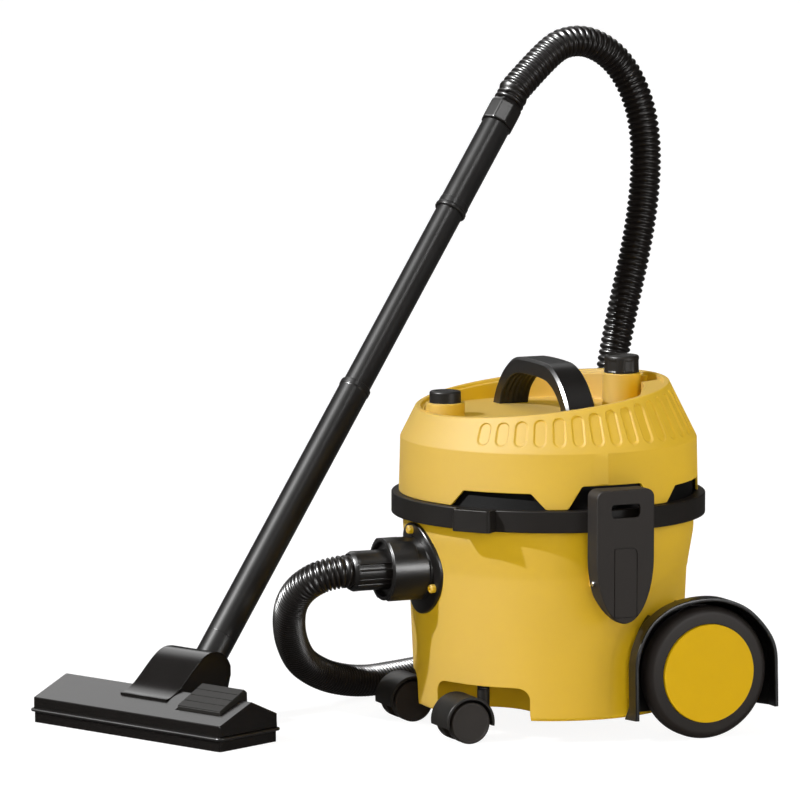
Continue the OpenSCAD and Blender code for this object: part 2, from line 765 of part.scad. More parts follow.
module caster_axle(side) color(steel) placed() at_caster(side)
    bar_y(0, 0, caster_axle_r, -caster_w / 2 + 6, caster_w / 2 - 6);

// Latches
function latch_points(inset) = concat(
    [for (i = [0:24]) [(latch_w / 2 - inset) * cos(180 + i * 7.5),
        latch_taper_z + (latch_taper_z - latch_z - inset) * sin(180 + i * 7.5)]],
    [for (s = [0, 1], i = [0:6]) let (a = s * 90 + i * 15)
        [(s == 0 ? 1 : -1) * (latch_w / 2 - latch_corner) + (latch_corner - min(inset, 2)) * cos(a)
            - (s == 0 ? 1 : -1) * max(inset - 2, 0),
        latch_top_z - latch_corner - max(inset - 2, 0) + (latch_corner - min(inset, 2)) * sin(a)]]);

module latch(side) color(black) placed() on_side(side) difference() {
    union() {
        difference() {
            side_profile(-latch_y, -latch_y + latch_depth) polygon(latch_points(0));
            side_profile(-latch_y + latch_plate_t, 0) polygon(latch_points(latch_side_t));
            translate([0, -latch_y + latch_low_depth, latch_z]) rotate([90 - latch_low_lean, 0, 0])
                translate([-big / 2, 0, -big]) cube([big, big, big]);
        }
        side_nose();
    }
    translate([0, 0, finger_slot_z]) rotate([90, 0, 0]) linear_extrude(big)
        rounded(finger_slot_w, finger_slot_h, finger_slot_r);
    side_profile(-latch_y - 1, -latch_y + panel_t) translate([0, (panel_z[0] + panel_z[1]) / 2])
        rounded(panel_w, panel_z[1] - panel_z[0], panel_r);
    bar_x(-latch_pin_y, latch_pin_z, latch_pin_r + run_gap, -big, big);
}

// Rounded nose that snaps over the edge of the head's ledge
module side_nose() {
    block([-nose_w / 2, -latch_y + 1, ledge_z + 1],
        [nose_w / 2, -ledge_y - air_gap - 4, ledge_z + ledge_h + 1]);
    bar_x(-ledge_y - air_gap - 4, ledge_z + ledge_h / 2 + 1, 4, -nose_w / 2, nose_w / 2);
}

module latch_pins() color(steel) placed() for (side = [NEAR, FAR]) latch_pin(side);

// Motor head
module head_form() rotate_extrude() polygon([[0, skirt_z], [skirt_r, skirt_z], [shoulder_r, shoulder_z],
    [cone_r_at(cone_top_z), cone_top_z], [0, cone_top_z]]);

module above_rim() translate([0, 0, rim_mid_z]) rotate([0, -rim_tilt, 0])
    translate([-big / 2, -big / 2, 0]) cube([big, big, big]);

module rim_recess() rotate_extrude() polygon([[0, deck_z], [cone_r_at(deck_z) - rim_w, deck_z],
    [cone_r_at(cone_top_z) - rim_w, cone_top_z + 1], [0, cone_top_z + 1]]);

module head_room() rotate_extrude() polygon([[0, 0], [skirt_r - head_wall, 0],
    [skirt_r - head_wall, skirt_z],
    [shoulder_r - head_wall, shoulder_z], [cone_r_at(deck_z - deck_t) - head_wall - 0.4, deck_z - deck_t],
    [0, deck_z - deck_t]]);

module vent_outline(half, h) {
    low = skirt_r * sin(half[0]);
    high = skirt_r * sin(half[1]);
    polygon([[-low, skirt_z - 1], [low, skirt_z - 1], [high + 3, skirt_z + h - 3], [high, skirt_z + h],
        [-high, skirt_z + h], [-high - 3, skirt_z + h - 3]]);
}

module flute(turn) {
    top_z = rim_z_at(cone_r_at(rim_mid_z) * cos(turn)) - flute_top_margin;
    length = (top_z - flute_low_z) / cos(cone_lean);
    mid_z = (top_z + flute_low_z) / 2;
    rotate([0, 0, turn]) translate([cone_r_at(mid_z) - flute_depth, 0, mid_z]) rotate([0, -cone_lean, 0])
        rotate([90, 0, 90]) linear_extrude(20) {
            square([flute_w, length - flute_w], center = true);
            for (s = [-1, 1]) translate([0, s * (length - flute_w) / 2]) circle(flute_w / 2);
        }
}

module head_shell() color(yellow) placed() difference() {
    union() {
        difference() {
            head_form();
            above_rim();
            rim_recess();
            head_room();
            for (side = [-1, 1], i = [0:flute_count - 1]) flute(side * (flute_start + i * flute_pitch));
            for (side = [-1, 1], turn = vent_turns)
                radial(side * turn, skirt_r - vent_reach, skirt_r + vent_reach)
                    vent_outline(vent_half, vent_h);
            for (turn = [-90, 90]) radial(turn, skirt_r - vent_reach, skirt_r + vent_reach)
                vent_outline(latch_cut_half, latch_cut_h);
        }
        translate([-button_x, button_y, deck_z - deck_t])
            cylinder(d = boss_d, h = boss_top_z - deck_z + deck_t);
        translate([dial_x, 0, deck_z - deck_t]) cylinder(d = pedestal_d, h = dial_z - deck_z + deck_t);
        for (turn = post_turns) rotate([0, 0, turn]) translate([post_circle, 0, base_floor_z + base_floor_t])
            cylinder(r = post_r, h = deck_z - base_floor_z - base_floor_t - 1);
    }
    translate([-button_x, button_y, boss_top_z - button_drop - button_travel - 0.5])
        cylinder(d = button_d + 2 * air_gap, h = big);
    translate([-button_x, button_y, 0]) cylinder(r = switch_r, h = big);
    translate([dial_x, 0, deck_z - deck_t - 1]) cylinder(d = pedestal_d - 2 * pedestal_wall,
        h = dial_z - bush_t - deck_z + deck_t + 1);
    translate([dial_x, 0, 0]) cylinder(r = bush_r, h = big);
    bar_x(0, gland_z, gland_r, 0, big);
    post_screw_holes();
}

module post_screw_holes() for (turn = post_turns) rotate([0, 0, turn])
    translate([post_circle, 0, base_floor_z - 5]) cylinder(r = screw_r, h = screw_l + 5);

module head_base() color(black) placed() difference() {
    union() {
        translate([0, 0, base_z]) cylinder(r = base_r, h = base_top_z - base_z);
        translate([0, 0, base_top_z - 3]) cylinder(r = skirt_r_at(base_top_z) - head_wall - 0.2, h = 3);
        for (s = [-1, 1]) block([-ledge_w / 2, s > 0 ? 0 : -ledge_y, ledge_z],
            [ledge_w / 2, s > 0 ? ledge_y : 0, ledge_z + ledge_h]);
    }
    translate([0, 0, base_floor_z + base_floor_t]) cylinder(r = base_r - base_wall, h = big);
    translate([0, 0, base_z - 1]) cylinder(r = base_r - 12, h = base_floor_z - base_z + 1);
    cylinder(r = cage_r - 6, h = big);
    post_screw_holes();
}

module head_gasket() color(rubber) placed() translate([0, 0, rim_z]) difference() {
    cylinder(r = base_r - 0.5, h = gasket_t);
    translate([0, 0, -1]) cylinder(r = tank_r - lip_w, h = gasket_t + 2);
}

module base_screws() color(steel) placed() for (turn = post_turns) rotate([0, 0, turn])
    translate([post_circle, 0, base_floor_z - screw_head_h]) {
        cylinder(r = 2 * screw_r, h = screw_head_h);
        cylinder(r = screw_r, h = screw_l);
    }

// Outline of an arch as part of a flattened ring, from one foot to the other
function arch_points(a, b, n, steps) = [for (i = [0:steps]) let (t = i * 180 / steps)
    [a * sign(cos(t)) * pow(abs(cos(t)), 2 / n), b * pow(abs(sin(t)), 2 / n)]];

module carry_handle() color(black) placed() translate([handle_x - handle_w / 2, 0, deck_z]) difference() {
    rotate([90, 0, 90]) linear_extrude(handle_w) difference() {
        polygon(arch_points(handle_reach, handle_rise, 2.7, 48));
        polygon(concat(arch_points(handle_reach - handle_leg, handle_rise - handle_top, 2.3, 36),
            [[-handle_reach + handle_leg, -1], [handle_reach - handle_leg, -1]]));
    }
    for (i = [-2:2]) bar_x(i * 19, handle_rise - handle_top - 4, 9, -1, handle_w + 1);
}

module switch_body() color(black) placed() translate([-button_x, button_y, 0]) difference() {
    union() {
        translate([0, 0, switch_low_z]) cylinder(r = switch_r, h = switch_top_z - switch_low_z);
        translate([0, 0, deck_z - deck_t - 4]) cylinder(r = switch_r + 4, h = 4);
    }
    translate([0, 0, switch_top_z - 22]) cylinder(r = 4 + air_gap, h = 30);
}

module power_button() color(black) placed() translate([-button_x, button_y, 0]) {
    translate([0, 0, boss_top_z - button_drop]) rotate_extrude() polygon([[0, 0], [button_d / 2, 0],
        [button_d / 2, button_drop + button_h - 2.5], [button_d / 2 - 2.5, button_drop + button_h],
        [button_d / 2 - 7, button_drop + button_h], [button_d / 2 - 8, button_drop + button_h - 0.8],
        [0, button_drop + button_h - 0.8]]);
    translate([0, 0, switch_top_z - 18]) cylinder(r = 4, h = boss_top_z - button_drop - switch_top_z + 18.5);
}

module dial_unit() color(black) placed() translate([dial_x, 0, 0]) difference() {
    union() {
        translate([0, 0, dial_z - bush_t - dial_unit_h]) cylinder(r = dial_unit_r, h = dial_unit_h);
        translate([0, 0, dial_z - bush_t - 1]) cylinder(r = bush_r, h = bush_t + 1);
    }
    translate([0, 0, dial_z - bush_t - dial_unit_h + 3]) cylinder(r = dial_shaft_r + run_gap, h = big);
}

module dial_shaft() color(steel) placed() translate([dial_x, 0, dial_z - bush_t - dial_unit_h + 3.5])
    cylinder(r = dial_shaft_r, h = bush_t + dial_unit_h - 3.5 + 14);

module suction_dial() color(black) placed() translate([dial_x, 0, dial_z + air_gap]) difference() {
    rotate_extrude() polygon([[0, 0], [dial_d / 2, 0], [dial_d / 2 - 0.6, dial_h - 2],
        [dial_d / 2 - 2.4, dial_h], [dial_d / 2 - 5, dial_h], [dial_d / 2 - 6, dial_h - 1.6],
        [0, dial_h - 1.6]]);
    cylinder(r = dial_shaft_r, h = 13.7);
    for (i = [0:5]) rotate([0, 0, i * 60 - 60]) translate([dial_d / 2 - 1, -6.5, 3])
        cube([5, 13, dial_h - 8]);
}

module power_gland() color(rubber) placed() difference() {
    union() {
        bar_x(0, gland_z, gland_r, gland_x - head_wall - 3, gland_x + 1);
        bar_x(0, gland_z, gland_r + 3, gland_x - 0.4, gland_x + 3);
    }
    bar_x(0, gland_z, gland_bore_r, 0, big);
}

// Motor, fan and filter
module fan_housing() color(steel) placed() difference() {
    translate([0, 0, fan_z]) cylinder(r = fan_r, h = fan_h);
    translate([0, 0, fan_z + 1.5]) cylinder(r = fan_r - 1.5, h = fan_h - 3);
    translate([0, 0, fan_z - 1]) cylinder(r = 22, h = 10);
    translate([0, 0, fan_z]) cylinder(r = shaft_r + 3, h = big);
    for (i = [0:7]) rotate([0, 0, i * 45]) translate([fan_r - 6, -14, fan_z + 6]) cube([12, 28, fan_h - 14]);
}

module motor_bearings() color(steel) placed() for (z = [fan_top_z, cap_top_z - 3 - bearing_h])
    translate([0, 0, z]) difference() {
        cylinder(r = bearing_r, h = bearing_h);
        translate([0, 0, -1]) cylinder(r = shaft_r + run_gap, h = bearing_h + 2);
    }

module motor_cap() color(black) placed() difference() {
    translate([0, 0, fan_top_z]) cylinder(r = motor_r + 3, h = cap_top_z - fan_top_z);
    translate([0, 0, fan_top_z + 3]) cylinder(r = motor_r, h = cap_top_z - fan_top_z - 6);
    translate([0, 0, fan_top_z - 1]) cylinder(r = bearing_r, h = 9);
    translate([0, 0, cap_top_z - 3 - 0.01]) cylinder(r = shaft_r + 2, h = big);
    for (i = [0:5]) rotate([0, 0, i * 60]) translate([motor_r - 6, -9, fan_top_z + 36]) cube([20, 18, 8]);
}

module motor_stator() color(steel) placed() translate([0, 0, stator_z]) difference() {
    cylinder(r = motor_r, h = stator_h);
    translate([0, 0, -1]) cylinder(r = armature_r + 1, h = stator_h + 2);
    for (i = [0:3]) rotate([0, 0, i * 90 + 45]) translate([motor_r - 4, -8, -1])
        cube([20, 16, stator_h + 2]);
}

module motor_shaft() color(steel) placed() translate([0, 0, shaft_z])
    cylinder(r = shaft_r, h = shaft_top_z - shaft_z);

module armature() color([0.72, 0.45, 0.25]) placed() translate([0, 0, stator_z]) difference() {
    cylinder(r = armature_r, h = stator_h);
    translate([0, 0, -1]) cylinder(r = shaft_r, h = stator_h + 2);
    for (i = [0:11]) rotate([0, 0, i * 30]) translate([armature_r - 6, -1.2, -1])
        cube([10, 2.4, stator_h + 2]);
}

module impeller() color(steel) placed() translate([0, 0, impeller_z]) difference() {
    union() {
        translate([0, 0, impeller_h - 2]) cylinder(r = impeller_r, h = 2);
        difference() {
            cylinder(r = impeller_r, h = 2);
            translate([0, 0, -1]) cylinder(r = 22, h = 4);
        }
        cylinder(r = shaft_r + 5, h = impeller_h);
        for (i = [0:6]) rotate([0, 0, i * 360 / 7]) translate([0, blade_at, 1]) difference() {
            intersection() {
                cylinder(r = blade_r, h = impeller_h - 2);
                translate([6, -blade_at, 0]) cylinder(r = impeller_r - 8, h = impeller_h);
            }
            translate([0, 0, -1]) cylinder(r = blade_r - blade_t, h = impeller_h);
            translate([-impeller_r, -impeller_r, -1]) cube([impeller_r, 2 * impeller_r, impeller_h + 2]);
            translate([-1, -impeller_r, -1]) cube([impeller_r, impeller_r - blade_low, impeller_h + 2]);
        }
    }
    translate([0, 0, -1]) cylinder(r = shaft_r, h = impeller_h + 2);
}

module cooling_fan() color(black) placed() translate([0, 0, cooling_fan_z]) difference() {
    union() {
        cylinder(r = 12, h = 6);
        for (i = [0:7]) rotate([0, 0, i * 45]) rotate([30, 0, 0]) translate([0, -1, 0.4]) cube([34, 1.6, 5]);
    }
    translate([0, 0, -10]) cylinder(r = shaft_r, h = 30);
    translate([0, 0, 6]) cylinder(r = 60, h = 30);
    translate([0, 0, -20]) cylinder(r = 60, h = 20);
}

module filter_cage() color(black) placed() difference() {
    union() {
        translate([0, 0, cage_z]) cylinder(r = cage_r, h = cage_h);
        translate([0, 0, base_floor_z - 3]) cylinder(r = filter_r + 6, h = 3);
    }
    translate([0, 0, cage_z + 4]) cylinder(r = cage_r - 3, h = big);
    for (i = [0:7]) rotate([0, 0, i * 45 + 22.5]) translate([cage_r - 10, -18, cage_z + 14])
        cube([20, 36, cage_h - 34]);
    translate([0, 0, cage_z - 1]) cylinder(r = 4, h = 10);
}

module filter_cartridge() color([0.92, 0.92, 0.88]) placed() translate([0, 0, base_floor_z - 3 - filter_h])
    linear_extrude(filter_h) difference() {
        polygon([for (i = [0:2 * pleats - 1]) let (r = filter_r - (i % 2) * pleat_depth)
            [r * cos(i * 180 / pleats), r * sin(i * 180 / pleats)]]);
        polygon([for (i = [0:2 * pleats - 1]) let (r = filter_r - pleat_depth - 2.5 - (i % 2) * pleat_depth)
            [r * cos(i * 180 / pleats), r * sin(i * 180 / pleats)]]);
    }

module filter_cap() color(black) placed() translate([0, 0, cage_z - 5]) {
    difference() {
        cylinder(r = filter_r + 3, h = 5);
        translate([0, 0, 3]) cylinder(r = filter_r - cap_rim, h = 5);
    }
    translate([0, 0, -6]) cylinder(r = 14, h = 6);
    cylinder(r = 4, h = 14);
}

// Wand
module at_head() translate([-head_x, head_y, 0]) rotate([0, 0, head_turn]) children();
module along_wand() at_head() translate([elbow_x, 0, pivot_z]) rotate([0, 90 - wand_rise, 0]) children();
module tube(r, wall, from, to) translate([0, 0, from]) difference() {
    cylinder(r = r, h = to - from);
    translate([0, 0, -1]) cylinder(r = r - wall, h = to - from + 2);
}

module wand_lower_tube() color(black) placed() along_wand() {
    tube(lower_tube_r, lower_tube_r - upper_tube_r, neck_end, lower_tube_end);
    tube(lower_tube_r, lower_tube_r - sleeve_bore_r, neck_end, neck_end + 8);
    tube(lower_tube_r - 2, lower_tube_r - 2 - sleeve_bore_r, neck_end - socket_in, neck_end + 1);
    translate([0, 0, lower_tube_end - 4]) difference() {
        cylinder(r = lower_tube_r + 0.8, h = 4);
        translate([0, 0, -1]) cylinder(r = lower_tube_r - 1, h = 6);
    }
}

module wand_upper_tube() color(black) placed() along_wand()
    tube(upper_tube_r, tube_wall, lower_tube_end - overlap_l, ring_at + lock_ring_l + 16);

module wand_lock_ring() color(black) placed() along_wand() translate([0, 0, ring_at - lock_ring_l / 2])
    difference() {
        rotate_extrude() polygon([[0, 0], [lock_ring_r - 1, 0], [lock_ring_r, 1.2], [lock_ring_r, 4],
            [lock_ring_r - 1, 5], [lock_ring_r - 1, lock_ring_l], [0, lock_ring_l]]);
        translate([0, 0, -1]) cylinder(r = upper_tube_r, h = lock_ring_l + 2);
    }

module wand_grip() color(black) placed() along_wand() {
    tube(grip_d / 2, grip_d / 2 - upper_tube_r, ring_at + lock_ring_l / 2, ring_at + lock_ring_l + 16);
    tube(grip_d / 2, grip_d / 2 - upper_tube_r + tube_wall, ring_at + lock_ring_l + 16, grip_end);
}

module wand_cuff() color(black) placed() along_wand() translate([0, 0, grip_end + air_gap]) difference() {
    union() {
        rotate([0, 0, 22.5]) cylinder(r = wand_cuff_d / 2 / cos(22.5), h = wand_cuff_l, $fn = 8);
        translate([0, 0, -26]) cylinder(r = upper_tube_r - tube_wall - air_gap, h = 30);
    }
    translate([0, 0, -27]) cylinder(r = upper_tube_r - tube_wall - 2.5, h = big);
}

module floor_head_neck() color(black) placed() {
    difference() {
        union() {
            at_head() bar_y(0, pivot_z, barrel_r, -barrel_half, barrel_half);
            at_head() bar_y(0, pivot_z, trunnion_r, -hump_w / 2 + 0.2, hump_w / 2 - 0.2);
            at_head() bar_x(0, pivot_z, elbow_r, 0, elbow_x);
            at_head() translate([elbow_x, 0, pivot_z]) sphere(r = elbow_r + 0.8);
            along_wand() cylinder(r = elbow_r, h = neck_end);
        }
        at_head() bar_y(0, pivot_z, barrel_r - 3, -barrel_half + 3, barrel_half - 3);
        at_head() bar_x(0, pivot_z, elbow_r - 4, 0, elbow_x);
        at_head() translate([elbow_x, 0, pivot_z]) sphere(r = elbow_r - 3.5);
        along_wand() cylinder(r = elbow_r - 4, h = neck_end - socket_in);
        along_wand() translate([0, 0, neck_end - socket_in])
            cylinder(r = lower_tube_r - 2, h = socket_in + 1);
        at_head() block([-barrel_r - 1, -26, pivot_z - 14], [0, 26, pivot_z + 12]);
    }
}

// Floor head
function head_top_at(x) = let (v = x + head_front) v < head_peak
    ? head_front_z + (head_top_z - head_front_z) * v / head_peak
    : head_top_z + (head_back_z - head_top_z) * (v - head_peak) / (head_w - head_peak);

lip_top_z = head_top_at(hump_front) + 3;
function chute(t) = let (s = 3 * t * t - 2 * t * t * t)
    [hump_front + (ridge_x - hump_front) * t, lip_top_z + (ridge_z - lip_top_z) * s];

function hump_points() = concat([[hump_front, lip_top_z - 3.5]],
    [for (i = [0:16]) chute(i / 16)],
    [for (i = [1:8]) let (a = 90 - i * 7.5) [31 * cos(a), pivot_z + 31 * sin(a)]],
    [[28, pivot_z + 2], [24, pivot_z - 17], [head_back, pivot_z - 19], [head_back, head_back_z - 1]],
    [[head_peak - head_front, head_top_z - 3]]);

function duct_points() = concat([[hump_front + 12, head_top_at(hump_front) - 8]],
    [for (i = [3:16]) chute(i / 16) - [0, hump_wall + 0.8]], [[0, pivot_z], [head_back - 2, pivot_z - 19],
    [head_back - 2, head_back_z - 6]]);

module head_outline(grow) translate([head_back - head_w / 2, 0])
    rounded(head_w + 2 * grow, head_l + 2 * grow, head_corner_r + grow);

module floor_head_shell() color(black) placed() at_head() difference() {
    union() {
        intersection() {
            side_profile(-head_l / 2, head_l / 2) polygon([[-head_front, shell_z],
                [-head_front, head_front_z], [head_peak - head_front, head_top_z],
                [head_back, head_back_z], [head_back, shell_z]]);
            translate([0, 0, shell_z]) linear_extrude(big) head_outline(0);
        }
        side_profile(-hump_w / 2, hump_w / 2) polygon(hump_points());
    }
    side_profile(-head_l / 2 + head_shell_t, head_l / 2 - head_shell_t) polygon([
        [-head_front + head_shell_t, shell_z - 1], [-head_front + head_shell_t, head_front_z - head_shell_t],
        [head_peak - head_front, head_top_z - head_shell_t],
        [head_back - head_shell_t, head_back_z - head_shell_t], [head_back - head_shell_t, shell_z - 1]]);
    side_profile(-hump_w / 2 + hump_wall, hump_w / 2 - hump_wall) polygon(duct_points());
    bar_y(0, pivot_z, barrel_r + air_gap, -hump_w / 2 + hump_wall, hump_w / 2 - hump_wall);
    bar_y(0, pivot_z, trunnion_r + run_gap, -hump_w / 2 - 1, hump_w / 2 + 1);
    block([slot_x, -elbow_r - 1.2, 0], [big, elbow_r + 1.2, big]);
    block([pedal_front - 3, pedal_y - pedal_w / 2 - 1, head_front_z - 4],
        [pedal_back + 4, pedal_y + pedal_w / 2 + 1, big]);
}

module floor_head_bumper() color(rubber) placed() at_head() translate([0, 0, bumper_z])
    linear_extrude(bumper_t) difference() {
        head_outline(bumper_out);
        head_outline(-3);
    }

module floor_head_sole() color(black) placed() at_head() difference() {
    linear_extrude(bumper_z) head_outline(0);
    translate([0, 0, 3]) linear_extrude(bumper_z) head_outline(-3);
    block([(strip_x[0] + strip_x[1]) / 2 - mouth_w / 2, -mouth_l / 2, -1],
        [(strip_x[0] + strip_x[1]) / 2 + mouth_w / 2, mouth_l / 2, 4]);
    for (x = strip_x) block([x - strip_w / 2 - 0.8, -strip_l / 2 - 1, -1],
        [x + strip_w / 2 + 0.8, strip_l / 2 + 1, 4]);
}

module brush_carriage() color(steel) placed() at_head() difference() {
    block([strip_x[0] - 6, -strip_l / 2 - 2, carriage_z],
        [strip_x[1] + 6, strip_l / 2 + 2, carriage_z + 2.5]);
    block([(strip_x[0] + strip_x[1]) / 2 - mouth_w / 2, -mouth_l / 2 + 8, 0],
        [(strip_x[0] + strip_x[1]) / 2 + mouth_w / 2 - 6, mouth_l / 2 - 8, big]);
}

module brush_strips() color(rubber) placed() at_head() for (x = strip_x)
    block([x - strip_w / 2, -strip_l / 2, 1], [x + strip_w / 2, strip_l / 2, carriage_z]);

module brush_pedal() color(black) placed() at_head() translate([0, pedal_y, 0]) difference() {
    union() {
        difference() {
            side_profile(-pedal_w / 2, pedal_w / 2) polygon([[pedal_front, pedal_low_z - 7],
                [pedal_front, pedal_low_z], [pedal_back - 3, pedal_high_z],
                [pedal_back, pedal_high_z - 4], [pedal_back + 1, pedal_high_z - 19]]);
            side_profile(-pedal_w / 2 + 2.5, pedal_w / 2 - 2.5) polygon([[pedal_front + 10, pedal_low_z - 8],
                [pedal_front + 10, pedal_low_z + 1], [pedal_back - 3, pedal_high_z - 5],
                [pedal_back - 2, pedal_high_z - 26]]);
        }
        bar_y(pedal_pin[0], pedal_pin[1], pedal_pin_r, -pedal_w / 2 - 0.7, pedal_w / 2 + 0.7);
        block([pedal_front + 27, -5, carriage_z + 2.8], [pedal_front + 31, 5, pedal_low_z + 9]);
    }
    for (i = [0:3]) translate([pedal_front + 9 + i * 11, 0, pedal_low_z + 4.1 + i * 5.1])
        rotate([0, -24, 0]) block([-1, -pedal_w, -0.9], [1, pedal_w, 4]);
}

// Hose: a smooth curve through the route's points, with a rib every few millimetres
function smooth(a, b, c, d, t) = ((2 * b) + (c - a) * t + (2 * a - 5 * b + 4 * c - d) * t * t
    + (3 * b - a - 3 * c + d) * t * t * t) / 2;
last = len(hose_route) - 1;
steps = 10;
curve = [for (i = [0:last - 1], k = [0:steps - (i == last - 1 ? 0 : 1)])
    smooth(hose_route[max(i - 1, 0)], hose_route[i], hose_route[i + 1], hose_route[min(i + 2, last)],
        k / steps)];
function step_l(i) = i < len(curve) ? norm(curve[i] - curve[i - 1]) : 0;
lengths = [for (i = 0, s = 0; i < len(curve); i = i + 1, s = s + step_l(i)) s];
hose_length = lengths[len(lengths) - 1];
axis_tables = [for (k = [0:2]) [for (i = [0:len(curve) - 1]) [lengths[i], curve[i][k]]]];
function hose_at(s) = [for (k = [0:2]) lookup(s, axis_tables[k])];
rings = 2 * rib_count;
ring_at_s = [for (i = [0:rings]) hose_at(i * hose_length / rings)];
function unit(v) = v / norm(v);
ring_dir = [for (i = [0:rings]) unit(ring_at_s[min(i + 1, rings)] - ring_at_s[max(i - 1, 0)])];
function square_to(n, d) = unit(n - d * (n * d));
ring_up = [for (i = 0, n = [0, 0, 1]; i <= rings; i = i + 1, n = square_to(n, ring_dir[min(i, rings)])) n];
sides = 8;
function ring(i, r) = [for (k = [0:sides - 1]) let (a = (k + 0.5) * 360 / sides)
    ring_at_s[i] + r * (cos(a) * ring_up[i] + sin(a) * cross(ring_dir[i], ring_up[i]))];
bore_step = 4;
bore_rings = rings / bore_step;
hose_least_gap = min([for (i = [0:16:rings], j = [i + 48:16:rings])
    norm(ring_at_s[i] - ring_at_s[min(j, rings)])]) - hose_d;
echo(hose_length = hose_length, hose_least_gap = hose_least_gap);

function next(k) = (k + 1) % sides;

module hose() color(black) placed() {
    outer = [for (i = [0:rings]) each ring(i, hose_d / 2 - (i % 2 == 0 ? rib_depth : 0))];
    inner = [for (j = [0:bore_rings]) each ring(j * bore_step, hose_bore / 2)];
    base = len(outer);
    walls = [for (i = [0:rings - 1], k = [0:sides - 1]) let (a = i * sides, b = a + sides)
        each [[a + k, b + k, b + next(k)], [a + k, b + next(k), a + next(k)]]];
    bore = [for (j = [0:bore_rings - 1], k = [0:sides - 1]) let (a = base + j * sides, b = a + sides)
        each [[a + k, b + next(k), b + k], [a + k, a + next(k), b + next(k)]]];
    first_end = [for (k = [0:sides - 1]) each [[k, next(k), base + k], [next(k), base + next(k), base + k]]];
    far_ring = rings * sides;
    far_bore = base + bore_rings * sides;
    last_end = [for (k = [0:sides - 1]) each [[far_ring + k, far_bore + k, far_ring + next(k)],
        [far_ring + next(k), far_bore + k, far_bore + next(k)]]];
    polyhedron(concat(outer, inner), concat(walls, bore, first_end, last_end));
}

tank();
tank_band();
caster_mounts();
inlet_flange();
inlet_screws();
fender(NEAR);  // fender_near
fender(FAR);  // fender_far
stub_axles();
latch_pins();
floor_head_neck();
wand_lower_tube();
wand_upper_tube();
wand_lock_ring();
wand_grip();
hose();
head_shell();
head_base();
head_gasket();
base_screws();
carry_handle();
filter_cage();
filter_cartridge();
filter_cap();
fan_housing();
motor_stator();
motor_cap();
motor_bearings();
switch_body();
dial_unit();
power_gland();
motor_shaft();
impeller();
armature();
cooling_fan();
power_button();
suction_dial();
dial_shaft();
latch(NEAR);  // latch_near
latch(FAR);  // latch_far
rear_tyre(NEAR);  // rear_tyre_near
rear_tyre(FAR);  // rear_tyre_far
hub_disc(NEAR);  // hub_disc_near
hub_disc(FAR);  // hub_disc_far
caster_hood(NEAR);  // caster_hood_near
caster_hood(FAR);  // caster_hood_far
caster_stem(NEAR);  // caster_stem_near
caster_stem(FAR);  // caster_stem_far
caster_wheels(NEAR);  // caster_wheels_near
caster_wheels(FAR);  // caster_wheels_far
caster_axle(NEAR);  // caster_axle_near
caster_axle(FAR);  // caster_axle_far
inlet_cuff();
wand_cuff();
floor_head_shell();
floor_head_bumper();
floor_head_sole();
brush_pedal();
brush_carriage();
brush_strips();
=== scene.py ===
from math import acos, asin, atan2, cos, degrees, exp, hypot, pi, radians, sin, sqrt, tan
import bmesh
import bpy
import numpy as np
from mathutils import Matrix, Vector


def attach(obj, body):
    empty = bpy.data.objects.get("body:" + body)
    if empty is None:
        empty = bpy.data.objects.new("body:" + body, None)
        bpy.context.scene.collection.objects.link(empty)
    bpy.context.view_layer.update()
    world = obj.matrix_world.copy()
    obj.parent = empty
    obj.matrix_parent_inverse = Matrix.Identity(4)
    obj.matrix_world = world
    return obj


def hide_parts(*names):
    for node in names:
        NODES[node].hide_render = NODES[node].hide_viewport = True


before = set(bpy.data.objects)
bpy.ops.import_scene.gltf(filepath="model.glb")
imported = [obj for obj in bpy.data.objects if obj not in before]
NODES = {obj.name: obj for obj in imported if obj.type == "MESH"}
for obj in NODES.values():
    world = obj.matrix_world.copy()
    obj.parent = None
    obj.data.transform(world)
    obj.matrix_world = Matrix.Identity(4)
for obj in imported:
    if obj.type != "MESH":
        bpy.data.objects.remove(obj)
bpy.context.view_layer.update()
TAU = 2 * pi
NEAR_AND_FAR = ((-1, "near"), (1, "far"))
UP, ACROSS = (0, 0, 1), (0, 1, 0)
# Everything is drawn in millimetres from the drum's axis, as in the part's source. This is the frame's origin
ORIGIN = np.array([-180.7459, 101.9209, 0.0])
TANK_LOW, TANK_TOP = 27.5, 278
WHEEL = (122, -191, 80)
CASTER_STEM = (-124, -83)
CASTER_WHEEL = (-151, -83, 25)
BUTTON_AT = (-131.5, 12, 0)
DIAL_AT = (98, 0, 0)
INLET_AT, FORWARD = (0, 0, 200), (-1, 0, 0)
FLOOR_HEAD_AT = (-405, 153)
WALL, EDGE = 3, 0.9


def metres(p):
    return (np.asarray(p, float) - ORIGIN) * 0.001


# ---- camera, as solved from the photograph
EYE = (-2.89536, -6.61090, 1.28741)
SIGHT = Vector((0.40152, 0.90751, -0.12328)).normalized()
PICTURE_RIGHT = Vector((0.91449, -0.40461, 0)).normalized()
cam_data = bpy.data.cameras.new("camera")
cam_data.sensor_width = 36
cam_data.lens = 270
cam_data.clip_end = 60
camera = bpy.data.objects.new("camera", cam_data)
bpy.context.scene.collection.objects.link(camera)
turn = Matrix((PICTURE_RIGHT, PICTURE_RIGHT.cross(SIGHT).normalized(), -SIGHT)).transposed()
camera.matrix_world = Matrix.Translation(EYE) @ turn.to_4x4()
bpy.context.scene.camera = camera


# ---- materials
def feed(nt, node, values):
    """Sets a node's inputs: another node's output is linked, anything else is a plain value."""
    for key, value in values.items():
        if isinstance(value, bpy.types.NodeSocket):
            nt.links.new(value, node.inputs[key])
        else:
            node.inputs[key].default_value = value


